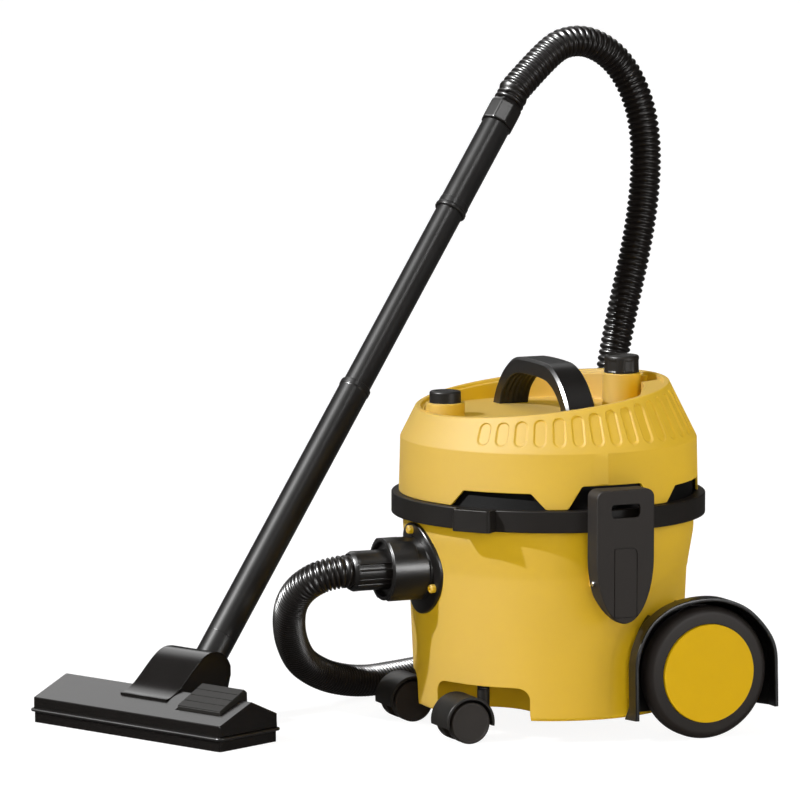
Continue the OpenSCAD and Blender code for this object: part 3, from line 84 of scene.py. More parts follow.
def add(nt, kind, out, values=None, **settings):
    """Adds a node with these settings and inputs, and gives back one of its outputs."""
    node = nt.nodes.new("ShaderNode" + kind)
    for key, value in settings.items():
        setattr(node, key, value)
    feed(nt, node, values or {})
    return node.outputs[out]


def noise(nt, scale, detail):
    place = add(nt, "TexCoord", "Object")
    return add(nt, "TexNoise", "Fac", {"Vector": place, "Scale": scale, "Detail": detail})


def ramp(nt, share, dark, light, low=0.0, high=1.0):
    """A colour that goes from dark to light while share goes from low to high."""
    node = nt.nodes.new("ShaderNodeValToRGB")
    for end, colour, at in zip(node.color_ramp.elements, (dark, light), (low, high)):
        end.position = at
        end.color = (*colour, 1)
    nt.links.new(share, node.inputs["Fac"])
    return node.outputs["Color"]


def shader(name):
    m = bpy.data.materials.new(name)
    m.use_nodes = True
    return m, m.node_tree, m.node_tree.nodes["Principled BSDF"]


def plastic(name, colour, rough, spread, vary, grain, bump, level, patch):
    """Moulded plastic: slow shifts of tone, a faint grain, and gloss that wanders with handling."""
    m, nt, b = shader(name)
    slow = noise(nt, patch, 3)
    dark = [c * (1 - vary) for c in colour]
    light = [min(1, c * (1 + vary)) for c in colour]
    span = {"Value": slow, "To Min": max(0.02, rough - spread), "To Max": min(1, rough + spread)}
    lift = {"Height": noise(nt, grain, 2), "Strength": bump, "Distance": 0.0002}
    feed(nt, b, {"Base Color": ramp(nt, slow, dark, light, 0.3, 0.7),
                 "Roughness": add(nt, "MapRange", "Result", span),
                 "Normal": add(nt, "Bump", "Normal", lift), "Specular IOR Level": level})
    return m


def metal(name, colour, rough):
    """Bare metal, its tone and gloss broken up by fine scratches."""
    m, nt, b = shader(name)
    scratch = noise(nt, 220, 4)
    span = {"Value": scratch, "To Min": rough * 0.7, "To Max": rough * 1.3}
    feed(nt, b, {"Base Color": ramp(nt, scratch, [c * 0.85 for c in colour], colour),
                 "Roughness": add(nt, "MapRange", "Result", span), "Metallic": 1.0})
    return m


# Name, colour, roughness and how far it wanders, shift of tone, scale and strength of the grain, level of
# gloss, scale of the slow patches
YELLOW = plastic("yellow_moulded", (0.72, 0.436, 0.002), 0.72, 0.03, 0.012, 1100, 0.05, 0.36, 9)
DISC = plastic("yellow_disc", (0.72, 0.428, 0.002), 0.72, 0.03, 0.012, 1100, 0.05, 0.10, 9)
BLACK = plastic("black_moulded", (0.0205, 0.0160, 0.0130), 0.60, 0.04, 0.08, 1300, 0.10, 0.14, 20)
SATIN = plastic("black_satin", (0.0080, 0.0066, 0.0056), 0.32, 0.04, 0.08, 1500, 0.05, 0.40, 25)
BAND = plastic("band_black", (0.0150, 0.0125, 0.0105), 0.46, 0.04, 0.08, 1500, 0.06, 0.10, 25)
KNOB = plastic("knob_black", (0.0170, 0.0150, 0.0125), 0.44, 0.04, 0.08, 1500, 0.06, 0.13, 25)
FENDER = plastic("fender_black", (0.0045, 0.0040, 0.0038), 0.30, 0.04, 0.10, 1500, 0.06, 0.5, 25)
HOSE = plastic("hose_black", (0.0085, 0.0065, 0.0052), 0.33, 0.03, 0.10, 1700, 0.04, 0.33, 30)
WAND = plastic("wand_black", (0.0120, 0.0110, 0.0104), 0.32, 0.04, 0.08, 1500, 0.05, 0.26, 22)
FLOORTOOL = plastic("floor_tool_black", (0.0095, 0.0078, 0.0068), 0.22, 0.02, 0.04, 1200, 0.03, 0.28, 18)
TREAD = plastic("caster_tread", (0.0210, 0.0155, 0.0115), 0.58, 0.05, 0.10, 900, 0.12, 0.22, 25)
TYRE = plastic("tyre_rubber", (0.0210, 0.0165, 0.0140), 0.50, 0.05, 0.08, 700, 0.10, 0.15, 18)
SOFT = plastic("soft_rubber", (0.0110, 0.0092, 0.0082), 0.34, 0.05, 0.10, 900, 0.12, 0.5, 30)
# Painted shade: the motor head's base is darker than any black plastic, so the inside of the skirt's cut-outs
# looks shadowed
INNER_SHADE = plastic("inner_painted_shade", (0.0030, 0.0028, 0.0027), 0.60, 0.05, 0.10, 900, 0.10, 0.10, 25)
BRISTLE = plastic("bristle", (0.020, 0.018, 0.017), 0.7, 0.05, 0.3, 2500, 0.8, 0.3, 400)
PAPER = plastic("filter_paper", (0.72, 0.70, 0.62), 0.9, 0.05, 0.08, 1800, 0.6, 0.2, 60)
STEEL = metal("steel", (0.58, 0.58, 0.60), 0.28)
ALUMINIUM = metal("aluminium", (0.78, 0.79, 0.80), 0.35)
COPPER = metal("copper", (0.75, 0.36, 0.18), 0.3)


# ---- mesh helpers
def to_object(name, part):
    """An object from a part, which is a pair of points in millimetres and faces."""
    verts, faces = part
    me = bpy.data.meshes.new(name)
    me.from_pydata([tuple(v) for v in metres(verts)], [], [tuple(int(i) for i in f) for f in faces])
    ob = bpy.data.objects.new(name, me)
    bpy.context.scene.collection.objects.link(ob)
    return ob


def face_outwards(me, merge=False):
    b = bmesh.new()
    b.from_mesh(me)
    if merge:
        bmesh.ops.remove_doubles(b, verts=b.verts, dist=2e-6)
        bmesh.ops.dissolve_degenerate(b, edges=b.edges, dist=1e-6)
    bmesh.ops.recalc_face_normals(b, faces=b.faces)
    b.to_mesh(me)
    b.free()


def piece(name, part, mat, body, stands_for=None, sharp=35):
    """A part as a finished piece that rides on a body and may stand for a CAD node."""
    return dress(to_object(name, part), mat, body, stands_for, sharp)


def dress(ob, mat, body, stands_for=None, sharp=35):
    """Smooths a piece up to the sharp angle, gives it its material and body, and hides the node it stands
    for.
    """
    me = ob.data
    face_outwards(me, merge=True)
    me.materials.clear()
    me.materials.append(mat)
    for p in me.polygons:
        p.use_smooth = True
    me.set_sharp_from_angle(angle=radians(sharp))
    if sharp < 180:
        mod = ob.modifiers.new("flat faces stay flat", "WEIGHTED_NORMAL")
        mod.keep_sharp = True
        bake(ob)
    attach(ob, body)
    if stands_for:
        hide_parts(stands_for)
    return ob


def raw(name, part):
    """An object that is still to be carved or bevelled."""
    ob = to_object(name, part)
    face_outwards(ob.data)
    return ob


def bake(ob):
    """Applies the modifiers."""
    bpy.context.view_layer.update()
    got = ob.evaluated_get(bpy.context.evaluated_depsgraph_get())
    me = bpy.data.meshes.new_from_object(got)
    old = ob.data
    ob.modifiers.clear()
    ob.data = me
    bpy.data.meshes.remove(old)


def carve(ob, *parts):
    """Cuts closed parts out of an object."""
    for part in parts:
        tool = raw("cut", part)
        mod = ob.modifiers.new("cut", "BOOLEAN")
        mod.operation = "DIFFERENCE"
        mod.solver = "MANIFOLD"
        mod.object = tool
        bake(ob)
        me = tool.data
        bpy.data.objects.remove(tool)
        bpy.data.meshes.remove(me)


def bevel(ob, width, angle):
    """Rounds an object's edges by width, in millimetres."""
    mod = ob.modifiers.new("round", "BEVEL")
    mod.width = width * 0.001
    mod.segments = 2
    mod.limit_method = "ANGLE"
    mod.angle_limit = radians(angle)
    mod.miter_outer = "MITER_ARC"
    bake(ob)


def loft(rings, around=False):
    """Faces between rings of points. Both ends are capped, or around joins the last ring to the first."""
    rings = np.asarray(rings, float)
    n, m = rings.shape[:2]
    faces = []
    for i in range(n if around else n - 1):
        a, b = i * m, ((i + 1) % n) * m
        for k in range(m):
            q = (k + 1) % m
            faces.append((a + k, a + q, b + q, b + k))
    if not around:
        faces.append(tuple(range(m))[::-1])
        faces.append(tuple((n - 1) * m + k for k in range(m)))
    return rings.reshape(-1, 3), faces


def fillet(points, radii, steps=4, closed=True):
    """A polyline in 2-D with each corner rounded."""
    pts = [np.array(p, float) for p in points]
    n = len(pts)
    out = []
    for i in range(n):
        p = pts[i]
        r = radii if isinstance(radii, (int, float)) else radii[i]
        if not closed and i in (0, n - 1) or r <= 0:
            out.append(p)
            continue
        a, b = pts[i - 1] - p, pts[(i + 1) % n] - p
        la, lb = np.linalg.norm(a), np.linalg.norm(b)
        a, b = a / la, b / lb
        half = acos(float(np.clip(a @ b, -1, 1))) / 2
        if abs(pi / 2 - half) < 0.02:
            out.append(p)
            continue
        d = min(r / tan(half), la * 0.49, lb * 0.49)
        rr = d * tan(half)
        c = p + (a + b) / np.linalg.norm(a + b) * (rr / sin(half))
        s, e = p + a * d - c, p + b * d - c
        sweep = pi - 2 * half
        for k in range(steps + 1):
            t = k / steps
            w = sin(sweep)
            if w < 1e-6:
                v = s * (1 - t) + e * t
            else:
                v = s * (sin((1 - t) * sweep) / w) + e * (sin(t * sweep) / w)
            out.append(c + v)
    return np.array(out)


def basis(axis):
    axis = np.asarray(axis, float) / np.linalg.norm(axis)
    ref = np.array([0, 0, 1.0]) if abs(axis[2]) < 0.9 else np.array([1.0, 0, 0])
    u = np.cross(ref, axis)
    u /= np.linalg.norm(u)
    return axis, u, np.cross(axis, u)


def turned(profile, at, axis, segs=72, ripple=None):
    """Revolves a closed profile of (radius, height) about an axis; ripple moves the radius."""
    profile = np.asarray(profile, float)
    w, u, v = basis(axis)
    at = np.asarray(at, float)
    cols = []
    for k in range(segs):
        a = TAU * k / segs
        d = cos(a) * u + sin(a) * v
        r = profile[:, 0].copy()
        if ripple is not None:
            r = ripple(a, r, profile[:, 1])
        cols.append(at + np.outer(r, d) + np.outer(profile[:, 1], w))
    verts, faces = loft(cols, around=True)
    # A face that touches the axis is a triangle
    poles = np.tile(profile[:, 0] < 1e-6, segs)
    kept = []
    for f in faces:
        if poles[f[0]] and poles[f[1]]:
            continue
        kept.append(f[:3] if poles[f[0]] else (*f[:2], f[3]) if poles[f[1]] else f)
    return verts, kept


def join(*parts):
    verts, faces, base = [], [], 0
    for v, f in parts:
        verts.append(np.asarray(v, float))
        faces += [tuple(i + base for i in x) for x in f]
        base += len(v)
    return np.vstack(verts), faces


def prism(outline, place, low, high, edge=0.6, steps=2):
    """An outline (2-D) pushed from low to high, its two rims rounded. place(a, b, h) gives the point."""
    o = np.asarray(outline, float)
    area = 0.5 * np.sum(o[:, 0] * np.roll(o[:, 1], -1) - np.roll(o[:, 0], -1) * o[:, 1])
    if area < 0:
        o = o[::-1]
    e1 = o - np.roll(o, 1, 0)
    e2 = np.roll(o, -1, 0) - o
    e1 /= np.linalg.norm(e1, axis=1)[:, None] + 1e-12
    e2 /= np.linalg.norm(e2, axis=1)[:, None] + 1e-12
    nrm = np.stack([(e1 + e2)[:, 1], -(e1 + e2)[:, 0]], 1)
    ln = np.linalg.norm(nrm, axis=1)[:, None]
    nrm /= ln + 1e-12
    stretch = 1 / np.clip(np.sum(nrm * np.stack([e1[:, 1], -e1[:, 0]], 1), 1), 0.5, 1)
    quarter = [pi / 2 * k / steps for k in range(steps + 1)]
    levels = [(edge * (1 - sin(a)), low + edge * (1 - cos(a))) for a in quarter]
    levels += [(edge * (1 - sin(a)), high - edge * (1 - cos(a))) for a in quarter[::-1]]
    rings = []
    for inset, h in levels:
        q = o - nrm * (inset * stretch)[:, None]
        rings.append([place(a, b, h) for a, b in q])
    return loft(rings)


# Where a prism's outline lies: in plan, as seen from the side, or as seen from the front
def in_plan(a, b, h):
    return (a, b, h)


def from_side(a, b, h):
    return (a, h, b)


def from_front(a, b, h):
    return (h, a, b)


def at_side(side, *parts):
    """Joins parts that are drawn on the near side, and mirrors them for the far side."""
    v, f = join(*parts)
    return v * np.array([1, -side, 1]), f


def box(low, high):
    (x0, y0, z0), (x1, y1, z1) = low, high
    v = [(x, y, z) for z in (z0, z1) for x, y in rect(x0, y0, x1, y1)]
    f = [(3, 2, 1, 0), (4, 5, 6, 7), (0, 1, 5, 4), (1, 2, 6, 5), (2, 3, 7, 6), (3, 0, 4, 7)]
    return np.array(v, float), f


def rect(x0, y0, x1, y1):
    return [(x0, y0), (x1, y0), (x1, y1), (x0, y1)]


def arc(x, y, rx, ry, start, end, count):
    """Points of an ellipse round (x, y), between two angles in degrees."""
    turns = [radians(a) for a in np.linspace(start, end, count)]
    return [(x + rx * cos(a), y + ry * sin(a)) for a in turns]


def wrap(angle):
    """The same direction, between minus and plus half a turn."""
    return (angle + pi) % TAU - pi


def ease(t):
    """Goes smoothly from 0 to 1 as t does."""
    t = np.clip(t, 0, 1)
    return t * t * (3 - 2 * t)


# ---- the hose comes first
# The wand and the floor head are turned alike from the tank's axis; CT and ST are that turn's cosine and sine
WAND_RISE, HEAD_TURN = radians(49.2), radians(24.6)
CT, ST = cos(HEAD_TURN), sin(HEAD_TURN)
WAND_DIR = np.array([cos(WAND_RISE) * CT, cos(WAND_RISE) * ST, sin(WAND_RISE)])
ELBOW = np.array([FLOOR_HEAD_AT[0] + 19.3 * CT, FLOOR_HEAD_AT[1] + 19.3 * ST, 62.0])
WAND_LENGTH, CUFF_LENGTH, GAP = 835, 34, 0.3
WAND_TOP = ELBOW + WAND_DIR * (WAND_LENGTH + GAP + CUFF_LENGTH + GAP)
HOSE_START = np.array([-250.3, 0, 200.0])
HOSE_MIDDLE = [
    (-299, 10, 193), (-311, 33, 177), (-310, 66, 153), (-297, 104, 122), (-275, 144, 90), (-248, 177, 62),
    (-210, 206, 40), (-171, 227, 27), (-133, 243, 21), (-94, 258, 20.4), (-54, 275, 20.4), (-12, 295, 20.4),
    (30, 317, 20.4), (72, 339, 20.4), (112, 358, 20.4), (150, 370, 22), (186, 377, 32), (216, 381, 54),
    (236, 383, 86), (245, 384, 124), (249, 385, 165), (253, 386, 210), (258, 388, 255), (264, 390, 300),
    (271, 393, 345), (279, 396, 388), (290, 400, 432), (303, 405, 477), (317, 411, 524), (329, 417, 573),
    (337, 423, 622), (338, 427, 670), (331, 431, 713), (315, 434, 750), (292, 436, 777), (262, 435, 793),
    (231, 431, 795), (201, 424, 783)]
ROUTE = np.array([HOSE_START + (-l, 0, 0) for l in (0, 12, 26)] + [np.array(p, float) for p in HOSE_MIDDLE]
                 + [WAND_TOP + WAND_DIR * l for l in (26, 12, 0)])


def through(points, steps):
    """A smooth curve through these points."""
    p = np.vstack([points[:1], points, points[-1:]])
    out = []
    for i in range(1, len(p) - 2):
        a, b, c, d = p[i - 1], p[i], p[i + 1], p[i + 2]
        for k in range(steps):
            t = k / steps
            out.append(((2 * b) + (c - a) * t + (2 * a - 5 * b + 4 * c - d) * t * t
                        + (3 * b - a - 3 * c + d) * t ** 3) / 2)
    out.append(p[-2])
    return np.array(out)


def stepped(curve, shares):
    """A curve at shares of its length: points, directions, sides that don't twist, and the whole length."""
    seg = np.linalg.norm(np.diff(curve, axis=0), axis=1)
    s = np.concatenate([[0], np.cumsum(seg)])
    at = s[-1] * shares
    pts = np.stack([np.interp(at, s, curve[:, k]) for k in range(3)], 1)
    ahead = np.gradient(pts, axis=0)
    ahead /= np.linalg.norm(ahead, axis=1)[:, None]
    up = np.array([0, 0, 1.0])
    ups = []
    for t in ahead:
        up = up - t * (up @ t)
        up /= np.linalg.norm(up)
        ups.append(up)
    return pts, ahead, np.array(ups), s[-1]


def evenly(curve, count):
    """Points at equal steps along a curve."""
    return stepped(curve, np.linspace(0, 1, count))[0]


# The ribs stand closer together on the floor than up in the arch
RIBS, PER_RIB, HOSE_SIDES = 262, 8, 26
BORE, VALLEY, CREST = 15.0, 16.3, 20.0
share = np.linspace(0, 1, RIBS * PER_RIB + 1)
share = np.concatenate([[0], np.cumsum(1 + 0.45 * ease((share - 0.3) / 0.35))[:-1]])
pts, ahead, ups, hose_length = stepped(through(ROUTE, 10), share / share[-1])
rib = np.sin(np.pi * (np.arange(len(pts)) % PER_RIB) / PER_RIB) ** 0.8
hoop = TAU * np.arange(HOSE_SIDES) / HOSE_SIDES
hoops = np.cos(hoop)[None, :, None] * ups[:, None]
hoops = hoops + np.sin(hoop)[None, :, None] * np.cross(ahead, ups)[:, None]
outer = pts[:, None] + (VALLEY + (CREST - VALLEY) * rib)[:, None, None] * hoops
inner = (pts[:, None] + BORE * hoops)[::-PER_RIB * 2]
hose = piece("hose_ribbed", loft(np.concatenate([outer, inner]), around=True), HOSE, "chassis", "hose", 180)

# ---- tank
TANK = [(TANK_LOW, 161.5), (200, 169.3), (240, 176), (TANK_TOP, 176)]


def tank_r(z):
    return np.interp(z, [p[0] for p in TANK], [p[1] for p in TANK])


def smooth_tank_r(z):
    """The tank's radius with the corners of its step eased."""
    z = np.asarray(z, float)
    return sum(tank_r(z + d) * w for d, w in ((-5, 0.15), (-2.5, 0.2), (0, 0.3), (2.5, 0.2), (5, 0.15)))


ARCH_TURNS = [atan2(y, CASTER_STEM[0]) for y in (CASTER_STEM[1], -CASTER_STEM[1])]
ARCH_R, ARCH_TOP, ARCH_ROUND = 162.5, 67.0, 15
# Across the cut-out: where its flat top ends, where its side stands, and where its foot runs out
ARCH_FLAT, ARCH_SIDE, ARCH_END = 50, 64.9, 66.5
TANK_FLOOR, TANK_EDGE = 78, 5
# Heights of the tank's upper rows, close together at the corners of its step
STEP_ROWS = (*range(124, 196, 4), 197, 200, 203, 206, 212, 220, 228, 234, 237, 240, 243, 246, 252, 260, 268,
             276.5)
RECESS_DEPTH, RECESS_R, RECESS_EDGE, RECESS_FADE = 1.1, 118, 5, 12


def arch_height(theta):
    """Height of the skirt's lower edge: TANK_LOW, and higher inside the caster cut-outs."""
    best = TANK_LOW
    for t0 in ARCH_TURNS:
        d = wrap(theta - t0)
        if abs(d) < 1:
            u = abs(ARCH_R * sin(d))
            if u <= ARCH_FLAT:
                z = ARCH_TOP
            elif u < ARCH_SIDE:
                z = ARCH_TOP - ARCH_ROUND + sqrt(max(0, ARCH_ROUND ** 2 - (u - ARCH_FLAT) ** 2))
            elif u < ARCH_END:
                z = TANK_LOW + 8 * (1 - (u - ARCH_SIDE) / (ARCH_END - ARCH_SIDE)) ** 2
            else:
                z = TANK_LOW
            best = max(best, z)
    return best


def tank_columns():
    """Angles of the tank's columns, close together at the cut-outs' sides."""
    cols = [radians(a) for a in np.arange(-180, 180, 1.0)]
    for t0 in ARCH_TURNS:
        cols = [c for c in cols if abs(wrap(c - t0)) > 0.43]
        us = [0, 12, 24, 36, 44, 48, 50, 52, 54, 56, 58, 60, 61.5, 62.8, 63.8, 64.5, 64.85, 64.92, 65.2, 65.6,
              66, 66.5, 67.3]
        for u in us:
            a = asin(u / ARCH_R)
            cols += [t0 + a] + ([t0 - a] if u else [])
    return sorted(wrap(c) for c in cols)


def wheel_recess(theta, z):
    """The tank's side is drawn in slightly round each fender."""
    x = 165 * cos(theta)
    reach = RECESS_R - hypot(min(0, x - WHEEL[0]), max(0, z - WHEEL[2]))
    return RECESS_DEPTH * ease(reach / RECESS_EDGE) * min(1, max(0, (z - TANK_LOW) / RECESS_FADE))


def foot(r, z, edge=EDGE, turns=(0, 30, 60, 90)):
    """The rounded lower edge of a wall, from below outwards."""
    turns = [radians(a) for a in turns]
    return [(r - edge + edge * sin(a), z + edge - edge * cos(a)) for a in turns]


def round_axis(columns, core):
    """A skin of (angle, profile) columns; the rows before and at core each end in a disc at the axis."""
    rings = [[(r * cos(th), r * sin(th), z) for r, z in prof] for th, prof in columns]
    v, f = loft(rings, around=True)
    n, m = len(rings), len(rings[0])
    f = [q for q in f if {q[0] % m, q[1] % m} != {core - 1, core}]
    f.append(tuple(k * m + core - 1 for k in range(n)))
    f.append(tuple(k * m + core for k in range(n))[::-1])
    return v, f


def tank_part():
    columns = []
    for th in tank_columns():
        zb = arch_height(th)
        inside = zb > TANK_LOW + 0.1
        if inside:
            start = zb + EDGE
            prof = foot(tank_r(zb), zb)
            prof += [(tank_r(z), z) for z in (start + 0.6, start + 1.4, start + 2.4, start + 4)]
            start += 4
        else:
            start = TANK_LOW + TANK_EDGE
            prof = foot(tank_r(start), TANK_LOW, TANK_EDGE, (0, 15, 30, 45, 60, 75, 90, 90))
        for z in np.linspace(start, 120, 20)[1:]:
            prof.append((tank_r(z) - wheel_recess(th, z), z))
        for z in STEP_ROWS:
            prof.append((float(smooth_tank_r(z)) - wheel_recess(th, z), z))
        prof += [(175.6, 277.6), (174.6, TANK_TOP), (167.4, TANK_TOP), (166.4, 277.6), (166, 276.6),
                 (166, 274.5), (173, 267), (173, 240), (166.3, 200), (160.8, TANK_FLOOR + 1),
                 (155, TANK_FLOOR), (100, TANK_FLOOR), (40, TANK_FLOOR)]
        core = len(prof)
        under = TANK_FLOOR - WALL
        prof += [(40, under), (100, under), (150, under), (159, under)]
        for t in (0.15, 0.5, 0.8, 1):
            z = under + (zb + 1.4 - under) * t
            prof.append((tank_r(max(z, 33)) - WALL, z))
        prof.append((tank_r(max(zb, 33)) - 2.4 if inside else 157.5, zb + 0.3))
        columns.append((th, prof))
    return round_axis(columns, core)


piece("tank_shell", tank_part(), YELLOW, "chassis", "tank", 50)
hinge = prism(fillet(rect(-200, 191, -160, 207), [8, 1, 1, 8], 6), from_front, -25, 25, 1.0)
for side, word in NEAR_AND_FAR:
    piece(f"latch_hinge_block_{word}", at_side(side, hinge), YELLOW, "chassis")
# The room of each caster is walled in, up to the tank's floor
CASTER_REACH = 149.22
bend = arc(CASTER_REACH, 0, 65, 65, 92, 268, 45) + arc(CASTER_REACH, 0, 68, 68, 267, 93, 45)
for side, word in NEAR_AND_FAR:
    facing = atan2(side * -CASTER_STEM[1], CASTER_STEM[0])
    c, s = cos(facing), sin(facing)
    wall = prism([(a * c - b * s, a * s + b * c) for a, b in bend], in_plan, 28.2, 76.5, 0.5, 2)
    piece(f"caster_well_{word}", wall, YELLOW, "chassis", None, 50)

# ---- band round the tank's mouth
band_profile = fillet(rect(176.05, 258, 190, 284), [0.5, 1.6, 1.6, 0.5], 4)
piece("tank_band_ring", turned(band_profile, (0, 0, 0), UP, 240), BAND, "chassis", "tank_band")
POCKET_TURN = radians(-142)


def by_pocket(a, b, h):
    c, s = cos(POCKET_TURN), sin(POCKET_TURN)
    return (a * c - b * s, a * s + b * c, h)


pocket_out = fillet(rect(186, -25, 205, 25), [0.5, 4.5, 4.5, 0.5], 6)
pocket_in = fillet(rect(191.6, -21.6, 201.6, 21.6), 2.2, 4)
pocket = raw("band_pocket", prism(pocket_out, by_pocket, 258, 284.4, 0.9, 3))
carve(pocket, prism(pocket_in, by_pocket, 262, 290, 0.3))
bevel(pocket, 0.5, 40)
dress(pocket, BAND, "chassis")

# ---- motor head
# The skirt stands on the band, the cone stands on the skirt, and the rim slopes up to the rear
SKIRT_Z, SKIRT_R = 284.4, 181
CONE_Z, CONE_R, CONE_LEAN = 351, 179.3, 0.5
RIM_Z, RIM_SLOPE = 404, tan(radians(6.45))
DECK_Z, HEAD_CORE = 380, 12
# Cut-outs in the skirt: direction, half width at the foot and at the top, all in degrees, and height
HEAD_CUTS = [(-135.5, 19.5, 13.7, 19.0), (-44.5, 19.5, 13.7, 19.0), (-90, 17.8, 12.3, 27.6),
             (135.5, 19.5, 13.7, 19.0), (44.5, 19.5, 13.7, 19.0), (90, 17.8, 12.3, 27.6)]


def skirt_r(z):
    return SKIRT_R + (CONE_R - SKIRT_R) * (z - SKIRT_Z) / (CONE_Z - SKIRT_Z)


def cone_r(z):
    return CONE_R - CONE_LEAN * (z - CONE_Z)


def rim_z(theta):
    k = RIM_SLOPE * cos(theta)
    return (RIM_Z + (CONE_R + CONE_LEAN * CONE_Z) * k) / (1 + CONE_LEAN * k)


def cut_line(half, top, rise):
    """The cut-out's edge from its middle outwards: (distance across, height), corners rounded."""
    low, high = SKIRT_R * sin(radians(half)), SKIRT_R * sin(radians(top))
    return fillet([(0, rise), (high, rise), (low, 0), (low + 12, 0)], [0, 4.5, 4.0, 0], 6, closed=False)


CUT_LINES = [(radians(t), cut_line(half, top, rise)) for t, half, top, rise in HEAD_CUTS]


def skirt_low(theta):
    """Height of the skirt's lower edge."""
    z = 0.0
    for t0, line in CUT_LINES:
        d = wrap(theta - t0)
        if abs(d) < 0.6:
            u = abs(SKIRT_R * sin(d))
            z = max(z, float(np.interp(u, line[:, 0], line[:, 1], right=0)))
    return SKIRT_Z + z


# A row of flutes along each side, and each one's half width, depth, soft edge, height above the cone's foot
# and distance below the rim
FLUTES = [radians(s * (-142 + i * 7.8)) for s in (1, -1) for i in range(18)]
FLUTE_HALF, FLUTE_DEPTH, FLUTE_EDGE, FLUTE_LOW, FLUTE_HIGH = 7.9, 2.1, 1.6, 7, 6


def flute_depth(theta, z):
    """How far a point of the cone sinks into a pill-shaped flute."""
    near = min(FLUTES, key=lambda a: abs(wrap(theta - a)))
    x = cone_r(z) * sin(wrap(theta - near))
    if abs(x) > FLUTE_HALF:
        return 0.0
    # Heights along the cone's own slope
    lean = sqrt(1 + CONE_LEAN ** 2)
    low, high = FLUTE_LOW * lean, (rim_z(near) - FLUTE_HIGH - CONE_Z) * lean
    y = (z - CONE_Z) * lean
    middle = min(max(y, low + FLUTE_HALF), high - FLUTE_HALF)
    return FLUTE_DEPTH * ease((FLUTE_HALF - hypot(x, y - middle)) / FLUTE_EDGE)


def skirt_pad(theta, r):
    """A flat pad over the near latch, leaning a little to the left."""
    deg = degrees(theta)
    if not -98.2 < deg < -92.2:
        return r
    return (r - 0.1) * cos(radians(2.8)) / cos(radians(deg + 101))


def ledge_width(theta):
    """How far the ledge inside the rim reaches in: wide at the rear on the near side."""
    deg = degrees(theta)
    if -37 <= deg <= -13:
        return 22.0
    return 3.4 + 18.6 * ease((deg + 78) / 41) if deg < -37 else 3.4


def notch(theta):
    """The rim has a slot beside the rear pedestal."""
    return 9.0 if -12.4 < degrees(theta) < 3.4 else 0.0


def head_columns():
    """Angles of the head's columns, close together where it has flutes and edges."""
    cols = list(np.radians(np.arange(-180, 180, 1.5)))
    for s in (1, -1):
        cols += list(np.radians(s * np.arange(-146, -6, 0.27)))
    cols += list(np.radians([-98.25, -98.15, -92.25, -92.15, -13.1, -12.9, -12.5, -12.3, 3.3, 3.5]))
    for t0, line in CUT_LINES:
        turns = [asin(u / SKIRT_R) for u in line[:, 0] if u > 0]
        cols += [wrap(t0 + s * a) for a in turns for s in (1, -1)]
    cols = sorted({round(float(c), 6) for c in cols})
    out = [cols[0]]
    for c in cols[1:]:
        if c - out[-1] > 0.0012:
            out.append(c)
    return out


def head_part():
    columns = []
    for th in head_columns():
        zb = skirt_low(th)
        zt = rim_z(th)
        start = zb + EDGE
        prof = foot(skirt_r(zb), zb)
        for t in (0.02, 0.06, 0.12, 0.25, 0.4, 0.6, 0.8, 0.92):
            z = start + (CONE_Z - 1 - start) * t
            prof.append((skirt_pad(th, skirt_r(z)), z))
        prof += [(179.42, 349.4), (179.35, 350.4), (179.05, 351.2), (178.6, 352.2)]
        for z in np.linspace(CONE_Z + 2, zt - 1.6, 57):
            prof.append((cone_r(z) - flute_depth(th, z), z))
        top_r = cone_r(zt)
        slope = RIM_SLOPE * cos(th)
        cut, wide = notch(th), ledge_width(th)
        # Over the rim and down to the deck: (distance in from the rim's edge, drop below the rim's plane)
        over = [(0.5, 0.25), (1.2, 0.0), (5.6, 0.0), (6.4, 0.25), (6.9, 0.9 + 0.3 * cut), (7.1, 1.8 + cut),
                (7.3, 3.2 + cut), (7.7, 3.8 + cut), (7.0 + wide, 3.8 + cut), (7.6 + wide, 4.2 + cut),
                (7.9 + wide, 5.0 + cut)]
        prof.append((cone_r(zt - 0.8) - 0.05, zt - 0.8))
        prof += [(top_r - d, RIM_Z + (top_r - d) * slope - drop) for d, drop in over]
        ri, zi = prof[-1]
        zi = max(zi, DECK_Z + 1.6)
        prof[-1] = (ri, zi)
        if prof[-2][1] < zi:
            prof[-2] = (prof[-2][0], zi + 0.1)
        for t in (0.3, 0.6, 0.85):
            prof.append((ri - 0.3 * t, zi + (DECK_Z + 1.5 - zi) * t))
        prof += [(ri - 0.5, DECK_Z + 1), (ri - 1, DECK_Z + 0.4), (ri - 1.9, DECK_Z), (ri - 6.3, DECK_Z),
                 (100, DECK_Z), (80, DECK_Z), (40, DECK_Z), (HEAD_CORE, DECK_Z)]
        core = len(prof)
        under = DECK_Z - 4
        prof += [(HEAD_CORE, under), (80, under), (150, under), (166, 373), (176.3, CONE_Z)]
        for t in (0.3, 0.6, 0.9):
            z = CONE_Z + (zb + 0.6 - CONE_Z) * t
            prof.append((skirt_r(z) - WALL, z))
        prof += [(skirt_r(zb) - WALL, zb + 0.5), (skirt_r(zb) - 2.4, zb)]
        columns.append((th, prof))
    return round_axis(columns, core)


piece("head_shell_moulded", head_part(), YELLOW, "motor_head", "head_shell", 55)

# Bosses that carry the two knobs
boss = fillet([(0, 378), (26.2, 378), (23.6, 381.5), (23.5, 396), (0, 396)], [0, 0, 3, 1.2, 0], 4)
piece("button_boss", turned(boss, BUTTON_AT, UP, 72), YELLOW, "motor_head")
pedestal = fillet([(0, 378), (27, 378), (23.4, 384), (23.0, 422.6), (0, 422.6)], [0, 0, 6, 1.4, 0], 5)
piece("dial_pedestal", turned(pedestal, DIAL_AT, UP, 72), YELLOW, "motor_head")

